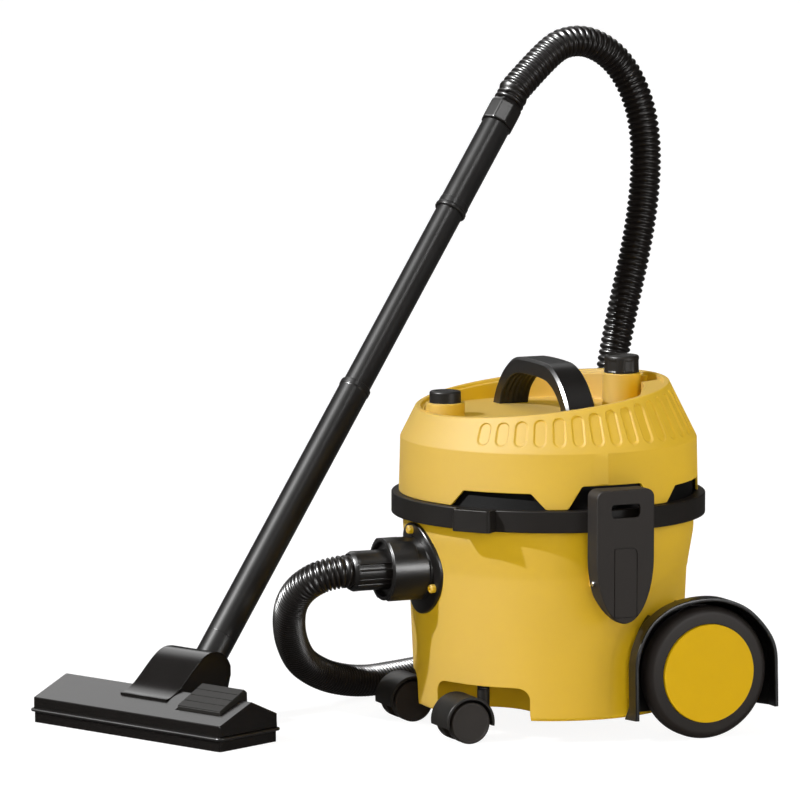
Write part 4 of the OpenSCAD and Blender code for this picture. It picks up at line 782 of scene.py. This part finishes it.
# Carry handle: a flat-topped arch, chamfered outside, with finger ridges along its inner face
HANDLE_OUT = [(110, 379.5), (105, 391), (98, 403), (83, 421), (64, 435), (46, 441.8), (24, 443.6), (0, 444)]
HANDLE_IN = [(88, 379.5), (85, 390), (79, 400), (64, 413), (45, 421.6), (24, 424.2), (12, 424.4), (0, 424.4)]


def arch(half, count):
    """A smooth arch through a half's points and their mirror image, at equal steps."""
    whole = np.array([(0.0, y, z) for y, z in half] + [(0.0, -y, z) for y, z in half[-2::-1]])
    return evenly(through(whole, 10), count)[:, 1:]


RIDGE_HIGH, RIDGE_STEP = 0.9, 6.6


def handle_part():
    rings = []
    count = 97
    for k, (outside, inside) in enumerate(zip(arch(HANDLE_OUT, count), arch(HANDLE_IN, count))):
        across = outside - inside
        thick = np.linalg.norm(across)
        across = across / thick
        half = thick / 2
        fade = min(1, k / 6, (count - 1 - k) / 6)
        sec = [(x, -half + RIDGE_HIGH * fade * (0.5 - 0.5 * cos((x + 16.5) / RIDGE_STEP * TAU)))
               for x in np.linspace(-16.5, 16.5, 41)]
        rest = fillet([(16.5, -half), (19.5, -half), (19.5, half - 3.4), (16.1, half), (-16.1, half),
                       (-19.5, half - 3.4), (-19.5, -half), (-16.5, -half)],
                      [0, 2.4, 0.9, 0.9, 0.9, 0.9, 2.4, 0], 3, closed=False)
        sec += [tuple(p) for p in rest[1:-1]]
        mid = (outside + inside) / 2
        rings.append([(-5 + x, mid[0] + across[0] * h, mid[1] + across[1] * h) for x, h in sec])
    rings = np.array(rings)
    rings[[0, -1], :, 2] = HANDLE_OUT[0][1]
    return loft(rings)


piece("carry_handle_arch", handle_part(), SATIN, "motor_head", "carry_handle", 28)

# Front button, with a dished top
cap = fillet([(0, 388.2), (19, 388.2), (19, 410), (12.2, 410), (11.4, 409.2), (0, 409.2)],
             [0, 0.8, 2.6, 0.4, 0.4, 0], 5)
stem = fillet(rect(0, 362, 4, 389), [0, 0.5, 0, 0], 2)
cap = join(turned(cap, BUTTON_AT, UP, 72), turned(stem, BUTTON_AT, UP, 24))
piece("power_button_cap", cap, KNOB, "button", "power_button")


# Rear dial, with six grip flats round its waist
def dial_ripple(a, r, h):
    six = (degrees(a) + 30) % 60 - 30
    flat = np.where((r > 17) & (h > 425) & (h < 438.5), 1.0, 0.0)
    cut = max(0.0, 1 - (abs(six) / 17) ** 6)
    return r - flat * 1.1 * cut


dial = [(0, 422.9), (20.6, 422.9), (21.3, 423.2), (21.6, 424), (21.6, 425.4), (21.6, 426.2), (21.5, 430),
        (21.4, 434), (21.3, 437.6), (21.3, 438.8), (21.2, 441.4), (20.6, 442.8), (19.4, 443.7), (18, 443.9),
        (16.8, 443.6), (16.0, 442.9), (15.4, 442.3), (14, 442.2), (0, 442.2)]
piece("suction_dial_knob", turned(dial, DIAL_AT, UP, 144, dial_ripple), KNOB, "dial", "suction_dial", 40)


# ---- latches
def half_egg(inset=0.0):
    """The latch's outline: square above and round below."""
    w, low, mid, top = 37.5 - inset, 151 + inset, 230, 311 - inset
    above = fillet([(w, mid + 20), (w, top), (-w, top), (-w, mid + 20)], [0, 10, 10, 0], 6, closed=False)
    return np.array(arc(0, mid, w, mid - low, 180, 360, 41) + [tuple(p) for p in above])


def latch_prism(outline, front, back, *rounding):
    """A prism whose front and back are measured inwards from the latch's face."""
    return prism(outline, from_side, LATCH_FACE + front, LATCH_FACE + back, *rounding)


LATCH_FACE = -215.0
# Behind the face the cover is hollow, and a leaning cut takes its lower rear corner
ca, sa = cos(radians(61)), sin(radians(61))
corners, faces = box((-60, 0, -200), (60, 120, 0))
lean = np.array([(x, y * ca - z * sa + LATCH_FACE + 9, y * sa + z * ca + 151) for x, y, z in corners]), faces
hollow = latch_prism(half_egg(3.0), 3.5, 60, 0.2, 1)
finger_slot = latch_prism(fillet(rect(-19, 277.5, 19, 294.5), 5.5, 5), -5, 20, 0.1, 1)
# The tongue is a shallow groove on three sides and a sunk field between
groove = fillet(rect(-15.4, 158.4, 15.4, 242.2), [2, 2, 8, 2], 6)
groove = latch_prism(groove, -2, 1.1, 0.1, 1)
egg = half_egg(2.5)
tongue = fillet(rect(-14.2, 158, 14.2, 241), [1, 1, 7, 1.5], 6)
tongue = np.array([(x, max(y, float(np.interp(x, egg[:41, 0], egg[:41, 1])))) for x, y in tongue])
tongue = latch_prism(tongue, 0.1, 2.6, 0.35, 2)
nose = prism(fillet(rect(-199.8, 293.4, -214, 299.4), [2.6, 0.3, 0.3, 2.6], 4), from_front, -20, 20, 0.8)
pin = fillet(rect(0, -37, 3, 37), [0, 0.6, 0.6, 0], 3)
for side, word in NEAR_AND_FAR:
    body = f"latch_{word}_body"
    shell = raw(f"latch_{word}_cover", at_side(side, latch_prism(half_egg(), 0, 27.4, 1.6, 3)))
    carve(shell, *[at_side(side, part) for part in (hollow, lean, finger_slot, groove)])
    bevel(shell, 0.7, 40)
    dress(shell, BLACK, body, f"latch_{word}")
    piece(f"latch_{word}_tongue", at_side(side, tongue, nose), BLACK, body)
    piece(f"latch_pin_{word}", turned(pin, (0, side * 200, 199), (1, 0, 0), 28), STEEL, "chassis",
          "latch_pins" if side < 0 else None)


# ---- hose inlet
def flange_point(y, z, off):
    """A point that stands off the tank's front by off."""
    r = float(smooth_tank_r(z)) + off
    return (-sqrt(max(1, r * r - y * y)), y, z)


def flange_part():
    rings = []
    turns = [TAU * k / 96 for k in range(96)]
    # The flange is taller than wide: (radius, how far it stands off the tank), from its face to its back
    for r, off in ((36, 5.0), (44, 5.0), (49, 5.0), (50.6, 4.9), (51.5, 4.4), (52, 3.4), (52, 1.5),
                   (52, -0.3), (48, -0.4), (36, -0.4)):
        line = [(0.96 * r * sin(a), 199 + 1.065 * r * cos(a)) for a in turns]
        rings.append([flange_point(y, z, off) for y, z in line])
    return loft(rings, around=True)


piece("inlet_flange_plate", flange_part(), SATIN, "chassis", "inlet_flange", 50)

MOUTH = 220.5
collar = fillet([(33.4, MOUTH), (37.5, MOUTH), (37.5, 176), (39.5, 172.6), (39.5, 160), (32.6, 160),
                 (32.6, 212), (33.4, 214)], [0.3, 0.9, 1.5, 1.0, 0, 0, 0, 0], 4)
piece("inlet_collar", turned(collar, INLET_AT, FORWARD, 120), SATIN, "chassis")


# Two raised sleeves on the collar; each steps back at its rear, round the bayonet's slot
def sleeve(side):
    rear = [(-26, 194), (-30, 190.5), (-34, 187.8), (-38, 187.3), (-66.6, 187.3), (-67.4, 176.2)]
    rear += [(a, 174.6) for a in range(-70, -161, -5)]
    angles = np.concatenate([np.arange(-26, -66, -2.0), [-66.6, -67.4], np.arange(-70, -161, -3.0)])
    out = []
    for i, a in enumerate(angles):
        x = float(np.interp(-a, [-p[0] for p in rear], [p[1] for p in rear]))
        high = 39.1 if i in (0, len(angles) - 1) else 40.0
        end = MOUTH - 0.5
        sec = fillet([(x, 36.9), (x, high), (end - 1.1, high), (end, high - 1.4), (end, 36.9)],
                     [0, 0.7, 0.5, 0.4, 0], 3)
        turn_a = radians(a * side)
        out.append([(-b, h * sin(turn_a), 200 + h * cos(turn_a)) for b, h in sec])
    return loft(out)


piece("inlet_collar_sleeves", join(sleeve(1), sleeve(-1)), SATIN, "chassis", None, 40)
cup = fillet([(0, 4.2), (1.5, 4.2), (1.9, 6.6), (3.6, 6.6), (5.2, 5.2), (5.2, -4), (0, -4)],
             [0, 0.3, 0.5, 0.9, 0.8, 0, 0], 3)
for i, (y, z) in enumerate(((0.0, 246.1), (-37.9, 179.0), (37.9, 179.0))):
    base = flange_point(y, z, 4.6)
    piece("inlet_screw_%d" % (i + 1), turned(cup, base, (base[0], y, 0), 36), YELLOW, "chassis",
          None if i else "inlet_screws")


# Cuff of the hose at the inlet: a plain sleeve with a chamfered end, and a long field between two ridges
# above and below the middle of each side
CUFF_FIELDS = ((64, 81.5), (110.5, 128))


def cuff_ripple(a, r, h):
    from_top = abs((degrees(a) + 90) % 360 - 180)
    ridge = max(exp(-((from_top - x) / 1.3) ** 2) for field in CUFF_FIELDS for x in field)
    sunk = 0.5 if any(low < from_top < high for low, high in CUFF_FIELDS) else 0.0
    on = np.where((h > 216.4) & (h < 258.7) & (r > 22), 1.0, 0.0)
    return r + on * (ridge - sunk)


cuff = [(20.6, 262.6), (21.2, 263.4), (22.0, 262.8), (23.9, 259.6), (24.3, 258.6), (24.3, 254.4),
        (24.2, 253.8), (24.1, 253.0), (24.1, 246), (24.1, 236), (24.1, 226), (24.1, 217.6), (24.1, 216.6),
        (24.6, 215.6), (32.4, 215.4), (33.2, 215.0), (33.0, 214.2), (31.0, 213.4), (31.0, 190), (31.0, 164),
        (28.2, 164), (28.2, 208), (20.6, 214), (20.6, 240)]
cuff = turned(cuff, INLET_AT, FORWARD, 360, cuff_ripple)
piece("inlet_cuff_grip", cuff, SATIN, "hose_end_cuff", "inlet_cuff", 40)

# ---- rear wheels and fenders
tyre = [(8.05, 3.3), (18, 3.3), (18, 12), (59.5, 12), (59.5, 0.6), (60.1, 0), (62, 0), (68, 0.3)]
tyre += arc(70, 10, 10, -9.7, 90, 0, 11)[1:] + [(80, 14), (80, 18)] + arc(70, 18, 10, 10, 0, 90, 9)[1:]
tyre += [(62, 28), (59.5, 28), (59.5, 17), (18, 17), (18, 26), (8.05, 26)]
disc = fillet([(0, -4.0), (30, -3.9), (59.3, -3.4), (59.3, 12), (55, 12), (55, 1), (0, 0)],
              [0, 0, 1.0, 0.3, 0.3, 2, 0], 5)

FENDER_LINE = [(24.4, 29), (24, 62), (24, 98.5), (30.9, 123), (44.6, 145), (66.8, 161), (94.6, 169.7),
               (128, 171.4), (155, 165), (179, 151.6), (201.7, 127), (212.4, 103), (214.2, 70), (215, 34)]
FOOT_FLARE = 6.0
# (depth from the outer face, distance across), from the near edge inwards and back
FENDER_SECTION = fillet([(0, -195), (0, -176), (9.5, -158), (14.5, -158), (5.0, -178), (5.0, -195)],
                        [1.5, 5, 0.4, 0.4, 5, 1.5], 4)


def fender_line(inset):
    """The fender's outer line, or one drawn in from it by inset."""
    line = evenly(through(np.array([(x, 0.0, z) for x, z in FENDER_LINE]), 12), 97)[:, [0, 2]]
    tangent = np.gradient(line, axis=0)
    tangent /= np.linalg.norm(tangent, axis=1)[:, None]
    return line + inset * np.stack([tangent[:, 1], -tangent[:, 0]], 1)


def fender_band():
    """The thin curled band over the wheel, a little flared at its front foot."""
    rings = []
    for (x0, z0), (x1, z1) in zip(fender_line(0), fender_line(1)):
        inward = np.array([x1 - x0, z1 - z0])
        inward /= np.linalg.norm(inward)
        flare = FOOT_FLARE * max(0, 1 - (z0 - 29) / 14) if x0 < 100 else 0.0
        ring = []
        for depth, y in FENDER_SECTION:
            back = flare * min(1, max(0, (y + 195) / 20)) if depth < 4 else 0.0
            ring.append((x0 + inward[0] * depth - back, y, z0 + inward[1] * depth))
        rings.append(ring)
    return loft(rings)


def fender_wall():
    """The wall that runs inwards from the front of the fender to the tank."""
    front = [(x + 9, z) for x, z in fender_line(0) if x < 60 and z < 150]
    outline = front + [(x + 5, z - 2) for x, z in front[::-1]]
    to_tank = []
    for x, z in outline:
        r = float(tank_r(max(z, TANK_LOW))) - WALL
        to_tank.append((x, -sqrt(max(20 ** 2, r * r - x * x)), z))
    return loft([[(x, -166, z) for x, z in outline], to_tank])


plate = [(206, 34)] + arc(WHEEL[0], WHEEL[2], 84, 84, 0, 180, 73) + [(38, 34)]
hub_boss = fillet(rect(8.1, -165, 16, -140), [0.5, 1, 0.5, 0], 3)
bracket = fillet(rect(107, 38, 112, 160), 1.0, 3)
hub_boss = turned(hub_boss, (WHEEL[0], 0, WHEEL[2]), ACROSS, 48)
fender = join(fender_band(), prism(plate, from_side, -162, -158, 0.5), hub_boss,
              prism(bracket, from_side, -160, -128, 0.5), fender_wall())
for side, word in NEAR_AND_FAR:
    wheel = f"rear_wheel_{word}"
    piece(f"rear_tyre_{word}_rubber", at_side(side, turned(tyre, WHEEL, ACROSS, 144)), TYRE, wheel,
          f"rear_tyre_{word}", 40)
    piece(f"hub_disc_{word}_cover", at_side(side, turned(disc, WHEEL, ACROSS, 144)), DISC, wheel,
          f"hub_disc_{word}", 40)
    piece(f"fender_{word}_guard", at_side(side, fender), FENDER, "chassis", f"fender_{word}", 45)

# ---- casters
cx, cy, cz = CASTER_WHEEL
# The hood is one thin curved plate over both wheels, its ends cut level
hood_plate = fillet([(31.5, -24), (31.5, 24), (28.0, 24), (28.0, -24)], [1.3, 1.3, 0.5, 0.5], 4)
turns = np.radians(np.linspace(-9, 189, 67))
hood = loft([[(cx + r * cos(a), cy + y, cz + r * sin(a)) for r, y in hood_plate] for a in turns])
web = fillet([(cx - 12, cz - 6), (cx + 27, cz - 2), (cx + 27, cz + 22), (cx, cz + 30), (cx - 22, cz + 20)],
             [6, 2, 4, 6, 8], 4)
column = fillet(rect(5.02, 21, 7.5, 62), [0, 0.8, 0.8, 0], 3)
hub_ring = turned(rect(3.05, -7, 10, 7), CASTER_WHEEL, ACROSS, 32)
hood = join(hood, prism(web, from_side, cy - 7, cy + 7, 0.8), hub_ring,
            turned(column, (*CASTER_STEM, 0), UP, 40))
wheel = fillet([(0, 0.3), (21.6, 0.3), (21.6, 0), (24, 0), (25, 1.4), (25, 15), (24, 16), (3, 16), (3, 2.2),
                (0, 2.2)], [0, 0.2, 0.2, 1.0, 0.8, 0.8, 0.5, 0, 0, 0], 4)
wheels = join(*[turned(wheel, (cx, cy + s * 24, cz), (0, -s, 0), 72) for s in (-1, 1)])
for side, word in NEAR_AND_FAR:
    piece(f"caster_hood_{word}_shell", at_side(side, hood), KNOB, f"caster_{word}",
          f"caster_hood_{word}", 45)
    piece(f"caster_wheels_{word}_pair", at_side(side, wheels), TREAD, f"caster_roll_{word}",
          f"caster_wheels_{word}", 40)


# ---- wand
def on_wand(l, r, a):
    """A point at distance l along the wand, r from its axis, at angle a about it."""
    e1 = np.array([-ST, CT, 0.0])
    e2 = np.cross(WAND_DIR, e1)
    return ELBOW + WAND_DIR * l + r * (cos(a) * e1 + sin(a) * e2)


def along_wand(profile, segs):
    return turned(profile, ELBOW, WAND_DIR, segs)


lower = fillet([(16.0, 50), (19.25, 50), (19.25, 420), (20.0, 421.5), (20.0, 428), (17.5, 428), (17.4, 400),
                (16.0, 58)], [0.5, 1.2, 3, 0.6, 0.9, 0.4, 0, 0], 4)
inner_sleeve = [(16.0, 28.5), (17.2, 28), (17.2, 51), (16.0, 51)]
piece("wand_lower_tube_bent_end", join(along_wand(lower, 72), along_wand(inner_sleeve, 48)), WAND, "chassis",
      "wand_lower_tube")
upper = [(16, 368), (17.4, 368.4), (17.5, 369), (17.5, 500), (17.5, 600), (17.5, 734), (16, 735), (16, 600),
         (16, 500)]
piece("wand_upper_tube_black", along_wand(upper, 72), WAND, "chassis", "wand_upper_tube")
lock = fillet([(17.55, 697.5), (19.6, 697.5), (20.6, 699), (20.6, 702.4), (19.4, 703.6), (19.4, 712.4),
               (17.55, 712.4)], [0.3, 0.8, 0.8, 0.7, 0.5, 0.8, 0.2], 3)
piece("wand_lock_collar", along_wand(lock, 96), WAND, "chassis", "wand_lock_ring")
grip = fillet([(17.6, 712), (18.75, 712), (18.75, 835), (16.4, 835), (16.4, 735.5), (17.6, 735.5)],
              [0.2, 0.7, 1.2, 0.8, 0.2, 0.2], 3)
piece("wand_grip_sleeve", along_wand(grip, 72), WAND, "chassis", "wand_grip")
EIGHTH = radians(22.5)


def octagon(ring_r, l):
    """Points of an eight-sided section, its corners eased."""
    pts = []
    for k in range(8):
        for d in (-0.10, -0.10 / 3, 0.10 / 3, 0.10):
            a = EIGHTH * (1 + 2 * k) + d
            flat = ring_r * cos(EIGHTH) / max(cos((a + EIGHTH) % (2 * EIGHTH) - EIGHTH), 0.5)
            pts.append(on_wand(l, min(flat, ring_r * 0.985), a))
    return pts


def circle(r, l):
    """As many points as the octagon has, in line with them."""
    return [on_wand(l, r, TAU * ((k + 1) % 32) / 32) for k in range(32)]


CORNER_R = 20.5 / cos(EIGHTH)
outside = ((19.0, 835.4), (CORNER_R - 2.2, 835.6), (CORNER_R - 0.6, 836.6), (CORNER_R, 838),
           (CORNER_R, 862), (CORNER_R - 0.4, 864.6), (CORNER_R - 2.2, 867.6), (19.0, 869.2))
rings = [circle(14, 842), *[octagon(r, l) for r, l in outside], circle(15.3, 868.6), circle(15.3, 860)]
spigot = along_wand(rect(13.5, 810, 15.6, 838), 48)
piece("wand_cuff_octagon", join(loft(rings, around=True), spigot), SATIN, "wand_end_cuff", "wand_cuff", 25)


# ---- floor head
def at_head(*parts):
    """Joins parts drawn along the floor head's own axes, and puts them in its place."""
    v, f = join(*parts)
    x0, y0 = FLOOR_HEAD_AT
    return np.stack([x0 + v[:, 0] * CT - v[:, 1] * ST, y0 + v[:, 0] * ST + v[:, 1] * CT, v[:, 2]], 1), f


# Seen from the side: the front edge, the ridge and the rear edge of the top
HEAD_FRONT, HEAD_RIDGE, HEAD_REAR = (-115, 30.6), (-59, 53), (-15, 34)
side_line = fillet([(-115, 17), HEAD_FRONT, HEAD_RIDGE, HEAD_REAR, (-15, 17)], [0.3, 1.6, 2.5, 1.6, 0.3], 4)
shell = raw("floor_head_top", at_head(prism(side_line, from_side, -155.5, 155.5, 1.6, 3)))
# Seat for the pedal
carve(shell, at_head(box((-96, -136, 26.6), (-42, -64, 90))))
bevel(shell, 0.6, 40)
# Hump over the neck: a soft chute from the front edge up to a ridge, open at the back
LIP = HEAD_FRONT[1] + (HEAD_RIDGE[1] - HEAD_FRONT[1]) * (-84 - HEAD_FRONT[0]) / 56 + 3
line = [(-84, LIP - 3.5)]
line += [(-84 + 81 * t, LIP + (93 - LIP) * ease(t)) for t in np.linspace(0, 1, 25)]
line = np.array(line + arc(0, 62, 31, 31, 82, 20, 12))
tn = np.gradient(line, axis=0)
tn /= np.linalg.norm(tn, axis=1)[:, None]
under = line - np.stack([-tn[:, 1], tn[:, 0]], 1) * 3.2
under[0] = (-83, LIP - 3.6)
hump = raw("floor_head_hump", at_head(prism(np.vstack([line, under[::-1]]), from_side, -38.5, 38.5, 1.1, 3)))
carve(hump, at_head(box((4.5, -20.5, 30), (60, 20.5, 130))))
bevel(hump, 0.5, 45)
dress(hump, FLOORTOOL, "floor_head")
cheek = np.vstack([[(-84, LIP - 3.0)], line[1:], [(29.4, 62), (24, 45), (-15, 43), (-15, 33), (-59, 50)]])
cheek[1:-5, 1] -= 0.4
cheeks = [prism(cheek, from_side, y, y + 3, 0.7, 2) for y in (-38.5, 35.5)]
piece("floor_head_cheeks", at_head(*cheeks), FLOORTOOL, "floor_head", None, 45)
dress(shell, FLOORTOOL, "floor_head", "floor_head_shell")
bump = fillet(rect(-119.5, -160, -10.5, 160), 8.5, 6)
piece("floor_head_bumper_strip", at_head(prism(bump, in_plan, 13.5, 17, 1.3, 3)), SOFT, "floor_head",
      "floor_head_bumper")

# Rocker pedal: a flat plate in four steps, parted by thin grooves
PEDAL_FRONT, PEDAL_RISE, TREAD_STEP, TREAD_GAP = (-93, 42.4), (63.9 - 42.4) / 44, 10.9, 0.9
pedal_line = fillet([(-93, 36), PEDAL_FRONT, (-49, 63.9), (-45.4, 60.5), (-45, 46)],
                    [0.5, 0.8, 1.5, 2, 0.5], 4)
parts = [prism(pedal_line, from_side, -135, -65, 1.0, 3)]
for i in range(4):
    x0 = -92.6 + TREAD_STEP * i
    x1 = x0 + TREAD_STEP - TREAD_GAP
    z0, z1 = [PEDAL_FRONT[1] + (x - PEDAL_FRONT[0]) * PEDAL_RISE for x in (x0, x1)]
    tread_line = fillet([(x0, z0 - 1.5), (x0, z0 + 1.2), (x1, z1 + 1.2), (x1, z1 - 1.5)], [0, 0.4, 0.4, 0], 3)
    parts.append(prism(tread_line, from_side, -134.4, -65.6, 0.4, 2))
parts.append(turned(rect(0, -135.7, 2.5, -64.3), (-88, 0, 38), ACROSS, 24))
parts.append(prism(fillet(rect(-66, -105, -62, -95), 0.5, 5), in_plan, 11.6, 52, 0.3))
piece("brush_pedal_rocker", at_head(*parts), KNOB, "pedal", "brush_pedal", 40)

# ---- CAD nodes that stay
MAT_OF = {
    # head_base takes the painted-shade black, which darkens the inside of the skirt's cut-outs
    "caster_mounts": BLACK, "stub_axles": STEEL, "floor_head_neck": WAND, "head_base": INNER_SHADE,
    "head_gasket": SOFT, "base_screws": STEEL, "filter_cage": BLACK, "filter_cartridge": PAPER,
    "filter_cap": BLACK, "fan_housing": ALUMINIUM, "motor_stator": STEEL, "motor_cap": BLACK,
    "motor_bearings": STEEL, "switch_body": BLACK, "dial_unit": BLACK, "power_gland": SOFT,
    "motor_shaft": STEEL, "impeller": ALUMINIUM, "armature": COPPER, "cooling_fan": BLACK,
    "dial_shaft": STEEL, "caster_stem_near": STEEL, "caster_stem_far": STEEL, "caster_axle_near": STEEL,
    "caster_axle_far": STEEL, "floor_head_sole": FLOORTOOL, "brush_carriage": STEEL, "brush_strips": BRISTLE,
}
for node_name, mat in MAT_OF.items():
    me = NODES[node_name].data
    me.materials.clear()
    me.materials.append(mat)


# ---- floor, backdrop and light
def mix(nt, share, first, second):
    """The first shader where share is 0, the second where it is 1."""
    return add(nt, "MixShader", "Shader", {"Fac": share, 1: first, 2: second})


# Seen by the camera the floor is close to white and keeps a faint shadow; gloss sees a dim floor
CAMERA_SHARE, FLOOR_WHITE, FLOOR_IN_GLOSS = 0.75, 1.215, 0.1
WHITE = (1, 1, 1, 1)
m, nt, b = shader("floor_pale")
tone = add(nt, "TexNoise", "Fac", {"Scale": 3})
feed(nt, b, {"Base Color": ramp(nt, tone, [0.885] * 3, [0.89] * 3), "Roughness": 0.95,
             "Specular IOR Level": 0.0})
lit = add(nt, "Emission", "Emission", {"Color": WHITE, "Strength": FLOOR_WHITE})
dim = add(nt, "Emission", "Emission", {"Color": WHITE, "Strength": FLOOR_IN_GLOSS})
to_camera = {0: add(nt, "LightPath", "Is Camera Ray"), 1: CAMERA_SHARE}
to_camera = add(nt, "Math", "Value", to_camera, operation="MULTIPLY")
by_camera = mix(nt, to_camera, b.outputs["BSDF"], lit)
by_gloss = mix(nt, add(nt, "LightPath", "Is Glossy Ray"), by_camera, dim)
feed(nt, nt.nodes["Material Output"], {"Surface": by_gloss})
me = bpy.data.meshes.new("floor")
me.from_pydata([(-30, -30, 0), (30, -30, 0), (30, 30, 0), (-30, 30, 0)], [], [(0, 1, 2, 3)])
floor = bpy.data.objects.new("floor", me)
me.materials.append(m)
bpy.context.scene.collection.objects.link(floor)


def lamp(name, kind, energy, aim, at=(0, 0, 0), glossy=True, diffuse=True, **settings):
    """A lamp at a place, in metres, that shines along aim."""
    data = bpy.data.lights.new(name, kind)
    data.energy = energy
    for key, value in settings.items():
        setattr(data, key, value)
    ob = bpy.data.objects.new(name, data)
    ob.location = at
    ob.rotation_euler = aim.to_track_quat("-Z", "Y").to_euler()
    bpy.context.scene.collection.objects.link(ob)
    ob.visible_glossy = glossy
    ob.visible_diffuse = diffuse


SUN_AIM = Vector((0.751, 0.022, -0.659))


def sun(name, energy, angle, **rays):
    lamp(name, "SUN", energy, SUN_AIM, angle=radians(angle), **rays)


def area(name, energy, at, to, width, height, **rays):
    aim = Vector(to) - Vector(at)
    lamp(name, "AREA", energy, aim, at, shape="RECTANGLE", size=width, size_y=height, **rays)


# The lamps that light the object evenly don't show in gloss; sheen, over and box show only there
MIDDLE = (0, 0, 0.3)
sun("key", 1.4, 1.2)
sun("sheen", 25.0, 1.5, diffuse=False)
area("front", 52.0, (-1.2, -4.2, 1.6), MIDDLE, 3.0, 2.2, glossy=False)
area("right", 58.0, (3.6, -1.8, 1.5), MIDDLE, 2.4, 2.2, glossy=False)
area("left", 20.0, (-3.6, -2.2, 0.9), MIDDLE, 2.2, 1.6, glossy=False)
area("top", 21.0, (0.0, -0.6, 3.4), MIDDLE, 2.5, 2.5, glossy=False)
area("over", 20.0, (0.34, -1.56, 2.97), (-0.1, 0.1, 0.5), 0.6, 0.6, diffuse=False)
area("box", 76.0, (1.32, -3.10, 0.66), (0.05, -0.1, 0.25), 1.1, 0.75, diffuse=False)

# The air round it: even for soft light; gloss sees a white backdrop behind and a dark room in front
AIR, ROOM, BACKDROP = 0.16, 0.03, 2.4
BACKDROP_AT = (0.139, 0.787, 0.601)
world = bpy.data.worlds.new("world")
bpy.context.scene.world = world
world.use_nodes = True
nt = world.node_tree
feed(nt, nt.nodes["Background"], {"Color": (1.0, 0.985, 0.96, 1), "Strength": AIR})
along = {0: add(nt, "TexCoord", "Generated"), 1: BACKDROP_AT}
along = add(nt, "VectorMath", "Value", along, operation="DOT_PRODUCT")
fade = add(nt, "MapRange", "Result", {"Value": along, "From Min": 0.93, "From Max": 0.985, "To Min": ROOM,
                                      "To Max": BACKDROP}, interpolation_type="SMOOTHSTEP")
behind = add(nt, "Background", "Background", {"Color": WHITE, "Strength": fade})
white = add(nt, "Background", "Background", {"Color": WHITE, "Strength": 1.0})
air = nt.nodes["Background"].outputs["Background"]
for_gloss = mix(nt, add(nt, "LightPath", "Is Glossy Ray"), air, behind)
for_camera = mix(nt, add(nt, "LightPath", "Is Camera Ray"), for_gloss, white)
feed(nt, nt.nodes["World Output"], {"Surface": for_camera})
bpy.context.scene.view_settings.view_transform = "Standard"
